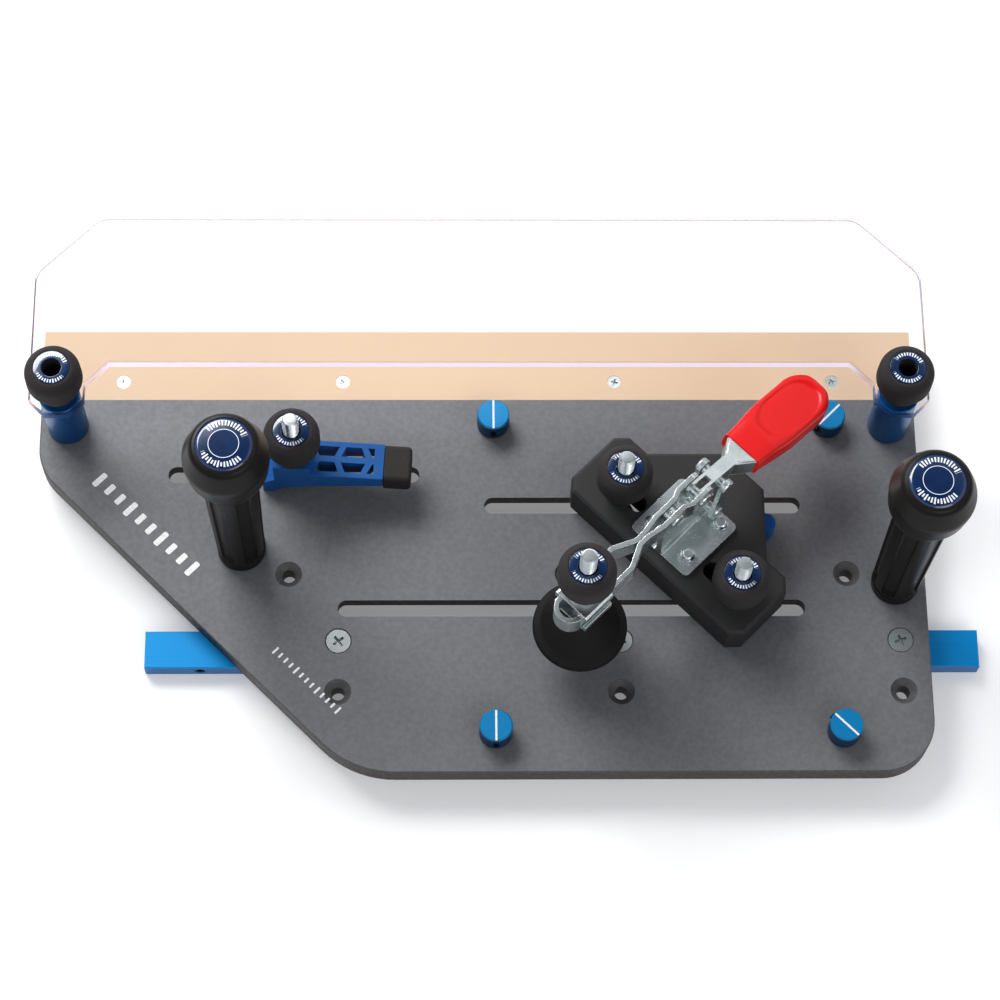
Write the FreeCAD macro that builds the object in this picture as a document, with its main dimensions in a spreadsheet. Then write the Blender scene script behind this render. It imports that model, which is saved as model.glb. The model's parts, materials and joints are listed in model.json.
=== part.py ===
import FreeCAD, Part
import math
import os

import Sketcher
from FreeCAD import Placement, Rotation, Vector

# Router-table half-lap jig, in millimetres.
# The frame: X runs along the mitre bar, +Y away from the user, +Z up. The origin lies under the
# middle of the plate's width, on the centre line of the mitre bar's underside.

doc = FreeCAD.newDocument("half_lap_jig")
sheet = doc.addObject("Spreadsheet::Sheet", "Sizes")

SIZES = {
    # base plate and backer
    "plate_width": 437.8, "plate_front": 66.4, "plate_back": 127.9, "plate_thick": 12.7,
    "corner_cut": 157.0, "front_right_radius": 26.0, "front_left_radius": 50.0, "left_radius": 27.0,
    "tongue_length": 19.0, "backer_back": 165.0, "backer_screw_inner": 68.4,
    "backer_screw_outer": 178.5, "backer_screw_back": 9.9, "edge_break": 0.5,
    # slots
    "slot_width": 8.5, "slot_one_left": 154.3, "slot_one_right": 29.8, "slot_one_y": 87.1,
    "slot_two_left": 2.2, "slot_two_right": 159.0, "slot_two_y": 70.6,
    "slot_three_left": 69.6, "slot_three_y": 16.6,
    # mitre bar and its rows of holes
    "bar_width": 19.05, "bar_thick": 9.525, "bar_left": 164.0, "bar_right": 245.1,
    "hole_pitch": 137.0, "hole_middle_x": 67.9, "front_row_y": 26.0, "back_row_y": 34.5,
    "back_row_middle_x": 43.2, "bar_screw_dia": 6.0, "bar_screw_head": 11.7, "sink_dia": 13.2,
    "set_screw_dia": 5.0, "set_screw_length": 6.0, "set_screw_left_x": 137.1,
    "set_screw_right_x": 150.0,
    # bolts and nuts
    "bolt_dia": 8.0, "bolt_flats": 13.0, "bolt_head": 5.3, "nut_height": 6.6, "washer_dia": 17.0,
    "washer_thick": 1.6, "fit_gap": 0.05, "free_gap": 0.3,
    # guard and posts
    "post_x": 205.0, "post_y": 113.7, "post_dia": 20.0, "post_height": 38.0, "guard_thick": 6.0,
    "guard_width": 438.4, "guard_front": 101.1, "guard_inner": 128.4, "guard_back": 208.7,
    "guard_back_corner": 30.5, "guard_ear_width": 26.8, "guard_ear_corner": 7.5,
    "guard_ear_slope": 11.2,
    # knobs
    "knob_dia": 27.4, "knob_neck_dia": 19.0, "knob_height": 26.0, "knob_neck": 9.5,
    "knob_label_dia": 17.4, "label_thick": 0.7, "knob_hole_dia": 9.2, "insert_height": 6.6,
    "insert_dia": 12.8, "stud_reach": 12.5,
    # push handles
    "handle_left_x": 116.9, "handle_left_y": 47.8, "handle_right_x": 203.7, "handle_right_y": 29.7,
    "handle_height": 131.0, "handle_head_dia": 40.5, "handle_foot_dia": 23.6,
    "handle_top_dia": 26.8, "handle_grip": 96.0, "handle_label_dia": 27.0, "handle_collar": 5.5,
    "flute_depth": 1.1, "flute_width": 7.5, "handle_bolt_depth": 40.0,
    # stop pins
    "pin_dia": 16.0, "pin_height": 12.0, "pin_offset": 1.5, "pin_post_dia": 5.0,
    "pin_post_height": 9.5, "pin_back_y": 114.7, "pin_front_y": 46.8, "pin_middle_x": 7.0,
    "pin_right_x": 174.5, "pin_groove_width": 1.1, "pin_groove_depth": 0.4,
    "pin_screw_dia": 3.0, "pin_screw_length": 4.5,
    # hold-down
    "hold_x": 91.0, "arm_width": 19.0, "arm_top": 23.5, "arm_end": 44.0, "arm_end_thick": 8.6,
    "boss_front": 8.5, "boss_back": 9.5, "boss_top": 30.0, "heel_back": 15.5, "pad_length": 13.5,
    "pad_drop": 4.0, "window_inner": 1.6, "window_outer": 6.7,
    # carrier plate
    "carrier_x": 81.7, "carrier_y": 33.0, "carrier_thick": 21.0, "carrier_half": 57.5,
    "carrier_corner": 5.5, "carrier_side": 35.5, "carrier_step_half": 40.0, "carrier_nose_half": 13.5,
    "carrier_depth": 67.5, "carrier_bevel": 1.5, "carrier_slot_back": 18.0,
    "carrier_slot_inner": 20.5, "carrier_slot_outer": 49.5, "button_dia": 10.0,
    # toggle clamp: base
    "flange_half": 18.7, "flange_front": 5.7, "flange_back": 42.8, "flange_thick": 2.5,
    "web_thick": 1.6, "base_bolt_dia": 5.0, "base_bolt_side": 11.9, "base_bolt_front": 14.0,
    "base_bolt_pitch": 23.0, "base_nut_flats": 8.0, "base_nut_height": 5.5, "layer_gap": 0.2,
    # toggle clamp: pivots, measured from the carrier's long edge and its top
    "pivot_arm_x": 10.5, "pivot_arm_z": 42.0, "pivot_link_x": 37.0, "pivot_link_z": 12.5,
    "pivot_lever_x": 28.0, "pivot_lever_z": 40.5, "pivot_open_x": 41.0, "pivot_open_z": 38.0,
    "pivot_dia": 5.0, "pivot_head_dia": 8.0, "pivot_head": 0.8, "lug_radius": 5.0,
    # toggle clamp: arm, lever, link
    "strip_thick": 2.4, "strip_low": 36.0, "strip_top": 49.0, "strip_end": 33.5,
    "arm_opening": 5.4, "arm_tip": 58.0, "pinch_front": 12.0, "pinch_back": 7.0, "cheek_thick": 1.6,
    "link_half": 4.0, "lever_neck": 10.0,
    "lever_length": 40.0, "lever_half": 9.4, "lever_depth": 10.0, "sheet_thick": 2.0,
    "grip_start": 19.5, "grip_length": 57.0, "grip_half": 12.6, "grip_thick": 14.5,
    # toggle clamp: spindle and foot
    "spindle_front": 49.0, "saddle_thick": 2.0, "saddle_half": 9.0, "saddle_lip": 3.0,
    "foot_dia": 45.4, "foot_low": 22.5, "foot_rim": 5.0, "foot_neck_dia": 19.0,
    "spindle_top": 120.0,
}


class Size:
    """A length that knows both its value and the sheet expression that gives it."""

    def __init__(self, text, value):
        self.text = text
        self.value = value

    def _join(self, other, sign, value):
        return Size(f"({self.text} {sign} {text_of(other)})", value)

    def __add__(self, other):
        return self._join(other, "+", self.value + number(other))

    def __sub__(self, other):
        return self._join(other, "-", self.value - number(other))

    def __mul__(self, other):
        return self._join(other, "*", self.value * number(other))

    def __truediv__(self, other):
        return self._join(other, "/", self.value / number(other))

    def __neg__(self):
        return Size(f"(0 - {self.text})", -self.value)

    def __radd__(self, other):
        return Size(f"({other!r} + {self.text})", other + self.value)

    def __rsub__(self, other):
        return Size(f"({other!r} - {self.text})", other - self.value)

    def __rmul__(self, other):
        return self * other


def number(size):
    return size.value if isinstance(size, Size) else float(size)


def text_of(size):
    return size.text if isinstance(size, Size) else f"({float(size)!r})"


class SizeTable:
    """Every cell of the sheet, as an attribute that holds a Size."""

    def __init__(self, cells):
        for row, (alias, value) in enumerate(cells.items(), start=1):
            sheet.set(f"A{row}", alias)
            sheet.set(f"B{row}", str(value))
            sheet.setAlias(f"B{row}", alias)
            setattr(self, alias, Size(f"Sizes.{alias}", value))


z = SizeTable(SIZES)
doc.recompute()

ROOT_HALF = math.sqrt(0.5)
CARRIER_TURN = 45.0      # the carrier's long edge lies at 45 degrees to the mitre bar
HOLD_DOWN_TURN = -3.7    # the hold-down arm is swung a little to the front
SINK_ANGLE = 90.0        # included angle of every countersunk head
SLIDE_LIFT = 0.2         # what slides stands this far off the plate, and its bolt head below it

plate_top = z.bar_thick + z.plate_thick
half_width = z.plate_width / 2
tongue_back = z.plate_back + z.tongue_length
tongue_top = z.bar_thick + z.plate_thick / 2
bolt_radius = z.bolt_dia / 2
bolt_hole = bolt_radius + z.free_gap
head_recess = z.bolt_head + z.free_gap
head_corner = z.bolt_flats / math.sqrt(3)
nodes = []


# ---- small helpers over the workbenches ---------------------------------------------------

def bind(item, name, size):
    """Set a property and, for a size from the sheet, bind it to its expression."""
    if isinstance(size, Size):
        item.setExpression(name, size.text)
    else:
        setattr(item, name, size)


def bind_place(item, x, y, height, turn=0.0):
    item.Placement = Placement(Vector(number(x), number(y), number(height)),
                               Rotation(Vector(0, 0, 1), turn))
    for axis, size in (("x", x), ("y", y), ("z", height)):
        if isinstance(size, Size):
            item.setExpression(f"Placement.Base.{axis}", size.text)


def new_body(name, x=0.0, y=0.0, height=0.0, turn=0.0, node=True):
    body = doc.addObject("PartDesign::Body", name)
    body.Label = name
    bind_place(body, x, y, height, turn)
    if node:
        nodes.append(body)
    return body


def new_sketch(body, plane, offset=0.0):
    """A sketch on one of the body's origin planes, moved along that plane's normal."""
    sketch = body.newObject("Sketcher::SketchObject", f"{body.Name}_sketch")
    origin_plane = [f for f in body.Origin.OriginFeatures if f.Role == plane][0]
    sketch.AttachmentSupport = [(origin_plane, "")]
    sketch.MapMode = "FlatFace"
    sketch.AttachmentOffset = Placement(Vector(0, 0, number(offset)), Rotation())
    if isinstance(offset, Size):
        sketch.setExpression("AttachmentOffset.Base.z", offset.text)
    return sketch


def add_bound(sketch, constraint, size):
    index = sketch.addConstraint(constraint)
    if isinstance(size, Size):
        sketch.setExpression(f"Constraints[{index}]", size.text)


def pin_point(sketch, geometry, point, x, y):
    add_bound(sketch, Sketcher.Constraint("DistanceX", -1, 1, geometry, point, number(x)), x)
    add_bound(sketch, Sketcher.Constraint("DistanceY", -1, 1, geometry, point, number(y)), y)


def circle(sketch, x, y, radius):
    ring = Part.Circle(Vector(number(x), number(y), 0), Vector(0, 0, 1), number(radius))
    index = sketch.addGeometry(ring)
    pin_point(sketch, index, 3, x, y)
    add_bound(sketch, Sketcher.Constraint("Radius", index, number(radius)), radius)


def corner_arc(before, corner, after, radius):
    """The tangent points and the arc that round one corner, and whether it turns left."""
    to_before = (before - corner).normalize()
    to_after = (after - corner).normalize()
    half_angle = to_before.getAngle(to_after) / 2
    reach = radius / math.tan(half_angle)
    arc_in = corner + to_before * reach
    arc_out = corner + to_after * reach
    middle = (to_before + to_after).normalize()
    centre = corner + middle * (radius / math.sin(half_angle))
    turns_left = (corner - before).cross(after - corner).z > 0
    first, last = (arc_in, arc_out) if turns_left else (arc_out, arc_in)
    start = math.atan2(first.y - centre.y, first.x - centre.x)
    end = math.atan2(last.y - centre.y, last.x - centre.x)
    if end < start:
        end += 2 * math.pi
    ring = Part.Circle(centre, Vector(0, 0, 1), radius)
    return arc_in, arc_out, Part.ArcOfCircle(ring, start, end), turns_left


def outline(sketch, corners):
    """A closed outline of straight sides. A corner is (x, y) or (x, y, radius)."""
    count = len(corners)
    points = [Vector(number(c[0]), number(c[1]), 0) for c in corners]
    rounded = {}
    ins, outs = list(points), list(points)
    for i, corner in enumerate(corners):
        if len(corner) == 3:
            before, after = points[i - 1], points[(i + 1) % count]
            ins[i], outs[i], arc, left = corner_arc(before, points[i], after, number(corner[2]))
            rounded[i] = (arc, left)
    sides = [sketch.addGeometry(Part.LineSegment(outs[i], ins[(i + 1) % count]))
             for i in range(count)]
    for i, corner in enumerate(corners):
        before, after = sides[i - 1], sides[i]
        if i not in rounded:
            sketch.addConstraint(Sketcher.Constraint("Coincident", before, 2, after, 1))
            pin_point(sketch, after, 1, corner[0], corner[1])
            continue
        arc, left = rounded[i]
        bend = sketch.addGeometry(arc)
        mark = sketch.addGeometry(Part.Point(points[i]), True)
        pin_point(sketch, mark, 1, corner[0], corner[1])
        sketch.addConstraint([
            Sketcher.Constraint("PointOnObject", mark, 1, before),
            Sketcher.Constraint("PointOnObject", mark, 1, after),
            Sketcher.Constraint("Tangent", before, 2, bend, 1 if left else 2),
            Sketcher.Constraint("Tangent", after, 1, bend, 2 if left else 1)])
        add_bound(sketch, Sketcher.Constraint("Radius", bend, number(corner[2])), corner[2])


def stadium(sketch, left, right, y, radius):
    """A slot along the sketch's X axis, from end to end between left and right."""
    x_left, x_right = left + radius, right - radius
    up = Vector(0, number(radius), 0)
    ends = [Vector(number(x), number(y), 0) for x in (x_left, x_right)]
    rings = [Part.Circle(end, Vector(0, 0, 1), number(radius)) for end in ends]
    left_arc = sketch.addGeometry(Part.ArcOfCircle(rings[0], math.pi / 2, 1.5 * math.pi))
    right_arc = sketch.addGeometry(Part.ArcOfCircle(rings[1], -math.pi / 2, math.pi / 2))
    low = sketch.addGeometry(Part.LineSegment(ends[0] - up, ends[1] - up))
    high = sketch.addGeometry(Part.LineSegment(ends[1] + up, ends[0] + up))
    sketch.addConstraint([
        Sketcher.Constraint("Tangent", left_arc, 2, low, 1),
        Sketcher.Constraint("Tangent", low, 2, right_arc, 1),
        Sketcher.Constraint("Tangent", right_arc, 2, high, 1),
        Sketcher.Constraint("Tangent", high, 2, left_arc, 1)])
    pin_point(sketch, left_arc, 3, x_left, y)
    add_bound(sketch, Sketcher.Constraint("DistanceX", -1, 1, right_arc, 3, number(x_right)), x_right)
    add_bound(sketch, Sketcher.Constraint("Radius", left_arc, number(radius)), radius)


def hexagon(sketch, flats):
    corner = flats / math.sqrt(3)
    turns = [math.radians(60 * i) for i in range(6)]
    outline(sketch, [(corner * math.cos(a), corner * math.sin(a)) for a in turns])


def pad(sketch, length, symmetric=False, reverse=False):
    body = sketch.getParentGeoFeatureGroup()
    feature = body.newObject("PartDesign::Pad", f"{body.Name}_pad")
    feature.Profile = sketch
    bind(feature, "Length", length)
    feature.Midplane = symmetric
    feature.Reversed = reverse
    return feature


def pocket(sketch, length, reverse=False, symmetric=False):
    """Cut towards the sketch's negative normal, or the positive one when reversed."""
    body = sketch.getParentGeoFeatureGroup()
    doc.recompute()
    before = body.Shape.Volume
    feature = body.newObject("PartDesign::Pocket", f"{body.Name}_pocket")
    feature.Profile = sketch
    bind(feature, "Length", length)
    feature.Midplane = symmetric
    feature.Reversed = reverse
    doc.recompute()
    if body.Shape.Volume > before - 1e-3:
        raise RuntimeError(f"{feature.Name} cuts nothing")
    return feature


def revolve(sketch):
    body = sketch.getParentGeoFeatureGroup()
    feature = body.newObject("PartDesign::Revolution", f"{body.Name}_revolution")
    feature.Profile = sketch
    feature.ReferenceAxis = (sketch, ["V_Axis"])
    feature.Angle = 360.0
    return feature


def polar(body, feature, count):
    pattern = body.newObject("PartDesign::PolarPattern", f"{body.Name}_polar")
    pattern.Originals = [feature]
    axis = [f for f in body.Origin.OriginFeatures if f.Role == "Z_Axis"][0]
    pattern.Axis = (axis, [""])
    pattern.Angle = 360.0
    pattern.Occurrences = count
    body.Tip = pattern
    return pattern


def dress(body, kind, size_name, size, wanted):
    """A fillet or chamfer on the edges of the body's tip that the test accepts."""
    doc.recompute()
    tip = body.Tip
    names = [f"Edge{i}" for i, edge in enumerate(tip.Shape.Edges, start=1) if wanted(edge)]
    if not names:
        raise RuntimeError(f"{body.Name} has no edge to dress")
    feature = body.newObject(f"PartDesign::{kind}", f"{body.Name}_{kind.lower()}")
    feature.Base = (tip, names)
    bind(feature, size_name, size)
    body.Tip = feature
    return feature


def fillet(body, size, wanted):
    return dress(body, "Fillet", "Radius", size, wanted)


def chamfer(body, size, wanted):
    return dress(body, "Chamfer", "Size", size, wanted)


def level_at(height):
    """A test for edges that lie flat at a height in the body's own frame."""
    return lambda edge: all(abs(v.Z - number(height)) < 1e-4 for v in edge.Vertexes) and \
        abs(edge.BoundBox.ZLength) < 1e-4


def shape_group(name, pieces):
    """Several equal fasteners in one node, kept as separate solids."""
    group = doc.addObject("Part::Feature", name)
    group.Label = name
    group.Shape = Part.makeCompound(pieces)
    nodes.append(group)
    return group


def copies_at(master, places):
    """Copies of a master body's solid, each moved to (x, y, height, turn)."""
    doc.recompute()
    pieces = []
    for x, y, height, turn in places:
        piece = master.Shape.copy()
        piece.Placement = Placement(Vector(number(x), number(y), number(height)),
                                    Rotation(Vector(0, 0, 1), turn))
        pieces.append(piece)
    return pieces


def cross_recess(body, height, reach, depth):
    """A Phillips cross cut into a head whose face lies at a height."""
    for wide in (True, False):
        sketch = new_sketch(body, "XY_Plane", height)
        arm, side = (reach, reach * 0.22) if wide else (reach * 0.22, reach)
        outline(sketch, [(-arm, -side), (arm, -side), (arm, side), (-arm, side)])
        pocket(sketch, depth)


def screw_hole(body, places, top, through, hole_radius, sink_radius):
    """Countersunk holes: a straight bore and a cone that opens at the top."""
    bores = new_sketch(body, "XY_Plane", top)
    for x, y in places:
        circle(bores, x, y, hole_radius)
    pocket(bores, through)
    for x, y in places:
        cone = body.newObject("PartDesign::SubtractiveCone", f"{body.Name}_sink")
        depth = (sink_radius - hole_radius) / math.tan(math.radians(SINK_ANGLE / 2))
        bind(cone, "Radius1", hole_radius)
        bind(cone, "Radius2", sink_radius)
        bind(cone, "Height", depth)
        bind_place(cone, x, y, top - depth)
    doc.recompute()


# ---- base plate, backer and mitre bar --------------------------------------------------------

front_edge = -z.plate_front
hole_columns = [z.hole_middle_x - z.hole_pitch, z.hole_middle_x, z.hole_middle_x + z.hole_pitch]
back_columns = [z.back_row_middle_x - z.hole_pitch, z.back_row_middle_x,
                z.back_row_middle_x + z.hole_pitch]
backer_columns = [-z.backer_screw_outer, -z.backer_screw_inner, z.backer_screw_inner,
                  z.backer_screw_outer]
backer_screw_y = z.plate_back + z.backer_screw_back
slots = [(-z.slot_one_left, -z.slot_one_right, z.slot_one_y),
         (z.slot_two_left, z.slot_two_right, z.slot_two_y),
         (-z.slot_three_left, z.slot_two_right, z.slot_three_y)]
post_places = [(-z.post_x, z.post_y), (z.post_x, z.post_y)]
handle_places = [(-z.handle_left_x, z.handle_left_y), (z.handle_right_x, z.handle_right_y)]
# the pins' centres, and the direction of the index line from the pivot to the centre
pins = {
    "stop_pin_back_middle": (z.pin_middle_x, z.pin_back_y, 90.0),
    "stop_pin_back_right": (z.pin_right_x, z.pin_back_y, 45.0),
    "stop_pin_front_middle": (z.pin_middle_x, -z.pin_front_y, 90.0),
    "stop_pin_front_right": (z.pin_right_x, -z.pin_front_y, -45.0),
}


def pin_pivot(x, y, turn):
    angle = math.radians(turn)
    return x - z.pin_offset * math.cos(angle), y - z.pin_offset * math.sin(angle)


def build_base_plate():
    body = new_body("base_plate")
    sketch = new_sketch(body, "XY_Plane", z.bar_thick)
    outline(sketch, [
        (half_width, front_edge, z.front_right_radius), (half_width, tongue_back),
        (-half_width, tongue_back), (-half_width, z.corner_cut + front_edge, z.left_radius),
        (z.corner_cut - half_width, front_edge, z.front_left_radius)])
    pad(sketch, z.plate_thick)
    rabbet = new_sketch(body, "XY_Plane", plate_top)
    outline(rabbet, [(-half_width - 1, z.plate_back), (half_width + 1, z.plate_back),
                     (half_width + 1, tongue_back + 1), (-half_width - 1, tongue_back + 1)])
    pocket(rabbet, z.plate_thick / 2)
    chamfer(body, z.edge_break, front_outline_edge)
    for left, right, y in slots:
        way = new_sketch(body, "XY_Plane", plate_top)
        stadium(way, left, right, y, z.slot_width / 2)
        pocket(way, z.plate_thick)
        # the channel under the slot takes a bolt head by its flats
        channel = new_sketch(body, "XY_Plane", z.bar_thick)
        margin = head_corner - z.slot_width / 2
        stadium(channel, left - margin, right + margin, y, z.bolt_flats / 2 + z.free_gap)
        pocket(channel, head_recess, reverse=True)
    places = [(x, y) for y, columns in ((-z.front_row_y, hole_columns), (0.0, hole_columns),
                                        (z.back_row_y, back_columns)) for x in columns]
    screw_hole(body, places, plate_top, z.plate_thick, z.bar_screw_dia / 2 + z.free_gap,
               z.sink_dia / 2)
    bores = new_sketch(body, "XY_Plane", plate_top)
    for x, y in post_places + handle_places:
        circle(bores, x, y, bolt_radius + z.fit_gap)
    pocket(bores, z.plate_thick)
    heads = new_sketch(body, "XY_Plane", z.bar_thick)
    for x, y in post_places + handle_places:
        circle(heads, x, y, head_corner + z.free_gap)
    pocket(heads, head_recess, reverse=True)
    pivots = new_sketch(body, "XY_Plane", plate_top)
    for x, y, turn in pins.values():
        circle(pivots, *pin_pivot(x, y, turn), z.pin_post_dia / 2 + z.fit_gap)
    pocket(pivots, z.plate_thick)
    feet = new_sketch(body, "XY_Plane", z.bar_thick)
    for x, y, turn in pins.values():
        circle(feet, *pin_pivot(x, y, turn), z.pin_post_dia + z.free_gap)
    pocket(feet, z.pin_post_dia / 2 + z.free_gap, reverse=True)
    screw_bores = new_sketch(body, "XY_Plane", tongue_top)
    for x in backer_columns:
        circle(screw_bores, x, backer_screw_y, BACKER_SCREW_RADIUS)
    pocket(screw_bores, z.plate_thick / 2)


def front_outline_edge(edge):
    """The rim of the plate's top face in front of the backer."""
    box = edge.BoundBox
    return level_at(plate_top)(edge) and box.YMin < number(z.plate_back) - 1e-3


BACKER_SCREW_RADIUS = 1.75
BACKER_HEAD_RADIUS = 3.6
SCREW_TURN = 37.0         # no two screws in a row stop at the same turn


def build_backer():
    body = new_body("backer_strip")
    sketch = new_sketch(body, "YZ_Plane")
    outline(sketch, [
        (z.plate_back, tongue_top), (tongue_back, tongue_top), (tongue_back, z.bar_thick),
        (z.backer_back, z.bar_thick), (z.backer_back, plate_top), (z.plate_back, plate_top)])
    pad(sketch, z.plate_width, symmetric=True)
    places = [(x, backer_screw_y) for x in backer_columns]
    screw_hole(body, places, plate_top, z.plate_thick / 2, BACKER_SCREW_RADIUS,
               BACKER_HEAD_RADIUS)


def flat_head_screw(name, shank_radius, head_radius, length, reach, depth):
    """A countersunk cross-head screw, its head's face at height zero."""
    body = new_body(name, node=False)
    cone = (head_radius - shank_radius) / math.tan(math.radians(SINK_ANGLE / 2))
    sketch = new_sketch(body, "XZ_Plane")
    outline(sketch, [(0.0, -length), (shank_radius * 0.6, -length),
                     (shank_radius, -length + shank_radius * 0.4), (shank_radius, -cone),
                     (head_radius, 0.0), (0.0, 0.0)])
    revolve(sketch)
    cross_recess(body, 0.0, reach, depth)
    return body


def build_backer_screws():
    sunk = z.fit_gap * 4
    head = BACKER_HEAD_RADIUS - sunk - z.fit_gap
    length = z.plate_thick - z.edge_break * 2
    master = flat_head_screw("backer_screw", BACKER_SCREW_RADIUS - z.fit_gap, head, length, 1.7, 1.2)
    places = [(x, backer_screw_y, plate_top - sunk, SCREW_TURN * i)
              for i, x in enumerate(backer_columns)]
    shape_group("backer_screws", copies_at(master, places))


def build_mitre_bar():
    body = new_body("mitre_bar")
    half = z.bar_width / 2
    sketch = new_sketch(body, "XY_Plane")
    outline(sketch, [(-z.bar_left, -half), (z.bar_right, -half), (z.bar_right, half),
                     (-z.bar_left, half)])
    pad(sketch, z.bar_thick)
    chamfer(body, z.edge_break, lambda edge: edge.Length > 10)
    bores = new_sketch(body, "XY_Plane", z.bar_thick)
    for x in hole_columns:
        circle(bores, x, 0.0, z.bar_screw_dia / 2 + z.fit_gap)
    pocket(bores, z.bar_thick)
    side = new_sketch(body, "XZ_Plane", half)
    for x in (-z.set_screw_left_x, z.set_screw_right_x):
        circle(side, x, z.bar_thick / 2, z.set_screw_dia / 2 + z.fit_gap)
    pocket(side, z.set_screw_length + 1)


def build_bar_screws():
    length = z.plate_thick + z.bar_thick - z.edge_break * 2
    master = flat_head_screw("mitre_bar_screw", z.bar_screw_dia / 2, z.bar_screw_head / 2, length,
                             3.1, 2.4)
    sunk = z.sink_dia / 2 - z.bar_screw_head / 2 - z.free_gap + z.fit_gap
    places = [(x, 0.0, plate_top - sunk, SCREW_TURN * (i + 1)) for i, x in enumerate(hole_columns)]
    shape_group("mitre_bar_screws", copies_at(master, places))


def set_screw(name, dia, length, node=False):
    """A socket set screw along its own Z axis, its open end at height zero."""
    body = new_body(name, node=node)
    rod = new_sketch(body, "XY_Plane")
    circle(rod, 0.0, 0.0, dia / 2)
    pad(rod, length, reverse=True)
    socket = new_sketch(body, "XY_Plane")
    hexagon(socket, dia / 2)
    pocket(socket, length / 2)
    return body


def build_set_screws():
    master = set_screw("mitre_bar_set_screw", z.set_screw_dia, z.set_screw_length)
    doc.recompute()
    pieces = []
    for x in (-z.set_screw_left_x, z.set_screw_right_x):
        piece = master.Shape.copy()
        face = z.bar_width / 2 - z.edge_break
        piece.Placement = Placement(Vector(x.value, -face.value, z.bar_thick.value / 2),
                                    Rotation(Vector(1, 0, 0), 90))
        pieces.append(piece)
    shape_group("mitre_bar_set_screws", pieces)


# ---- bolts, knobs and washers ----------------------------------------------------------------

def hex_bolt(name, length, node=False, x=0.0, y=0.0, height=0.0):
    """A bolt whose head sits under height zero and whose shank rises above it."""
    body = new_body(name, x, y, height, node=node)
    head = new_sketch(body, "XY_Plane")
    hexagon(head, z.bolt_flats)
    pad(head, z.bolt_head, reverse=True)
    shank = new_sketch(body, "XZ_Plane")
    tip = z.edge_break * 2
    outline(shank, [(0.0, 0.0), (bolt_radius, 0.0), (bolt_radius, length - tip),
                    (bolt_radius - tip, length), (0.0, length)])
    revolve(shank)
    return body


KNOB_ROUND = 4.2
KNOB_SHOULDER = 3.0
knob_radius = z.knob_dia / 2
label_radius = z.knob_label_dia / 2
knob_bore = bolt_radius + z.fit_gap


def knob_profile(closed_over_insert):
    neck = z.knob_neck_dia / 2
    top = z.knob_height
    seat = top - z.label_thick
    rim = [(neck, z.edge_break), (neck, z.knob_neck), (knob_radius, z.knob_neck + 3.2, KNOB_SHOULDER),
           (knob_radius, top - 0.6, KNOB_ROUND), (label_radius + z.fit_gap, top),
           (label_radius + z.fit_gap, seat)]
    if not closed_over_insert:
        return [(knob_bore, 0.0), (neck - z.edge_break, 0.0)] + rim + [(knob_bore, seat)]
    hole = z.knob_hole_dia / 2
    insert = z.insert_dia / 2 + z.fit_gap
    return [(insert, 0.0), (neck - z.edge_break, 0.0)] + rim + [
        (hole, seat), (hole, z.insert_height), (insert, z.insert_height)]


def build_knob(name, x, y, height, over_insert=False):
    """A soft round knob with a ring label let into its crown."""
    body = new_body(name, x, y, height)
    sketch = new_sketch(body, "XZ_Plane")
    outline(sketch, knob_profile(over_insert))
    revolve(sketch)
    seat = height + z.knob_height - z.label_thick
    inner = z.knob_hole_dia / 2
    label = new_body(f"{name}_label", x, y, seat)
    ring = new_sketch(label, "XZ_Plane")
    outline(ring, [(inner, 0.0), (label_radius, 0.0), (label_radius, z.label_thick - 0.1),
                   (label_radius - 0.2, z.label_thick), (inner + 0.2, z.label_thick),
                   (inner, z.label_thick - 0.1)])
    revolve(ring)
    if over_insert:
        insert = new_body(f"{name}_insert", x, y, height)
        sleeve = new_sketch(insert, "XZ_Plane")
        outer = z.insert_dia / 2
        outline(sleeve, [(knob_bore, 0.0), (outer, 0.0), (outer, z.insert_height),
                         (knob_bore, z.insert_height)])
        revolve(sleeve)


# ---- guard and push handles ------------------------------------------------------------------

guard_low = plate_top + z.post_height
guard_top = guard_low + z.guard_thick


def build_posts():
    for side, (x, y) in zip(("left", "right"), post_places):
        body = new_body(f"guard_post_{side}", x, y, plate_top)
        sketch = new_sketch(body, "XZ_Plane")
        radius = z.post_dia / 2
        outline(sketch, [(bolt_radius + z.fit_gap, 0.0), (radius - z.edge_break, 0.0),
                         (radius, z.edge_break), (radius, z.post_height - z.edge_break),
                         (radius - z.edge_break, z.post_height),
                         (bolt_radius + z.fit_gap, z.post_height)])
        revolve(sketch)


def build_guard():
    body = new_body("clear_guard")
    sketch = new_sketch(body, "XY_Plane", guard_low)
    half = z.guard_width / 2
    ear = half - z.guard_ear_width
    bend = z.guard_ear_corner
    corners = [(ear + bend, z.guard_front), (half - bend, z.guard_front),
               (half, z.guard_front + bend), (half, z.guard_back - z.guard_back_corner, 12.0),
               (half - z.guard_back_corner, z.guard_back, 12.0)]
    inner = [(ear - z.guard_ear_slope, z.guard_inner), (ear, z.guard_inner - z.guard_ear_slope),
             (ear, z.guard_front + bend)]
    right = corners[:]
    left = [(-c[0], *c[1:]) for c in reversed(corners)]
    inner_left = [(-x, y) for x, y in reversed(inner)]
    outline(sketch, right + left + inner_left + inner)
    pad(sketch, z.guard_thick)
    bores = new_sketch(body, "XY_Plane", guard_top)
    for x, y in post_places:
        circle(bores, x, y, bolt_radius + z.fit_gap)
    pocket(bores, z.guard_thick)
    chamfer(body, 0.4, lambda edge: edge.Length > 4 and
            (level_at(guard_top)(edge) or level_at(guard_low)(edge)))


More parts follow.
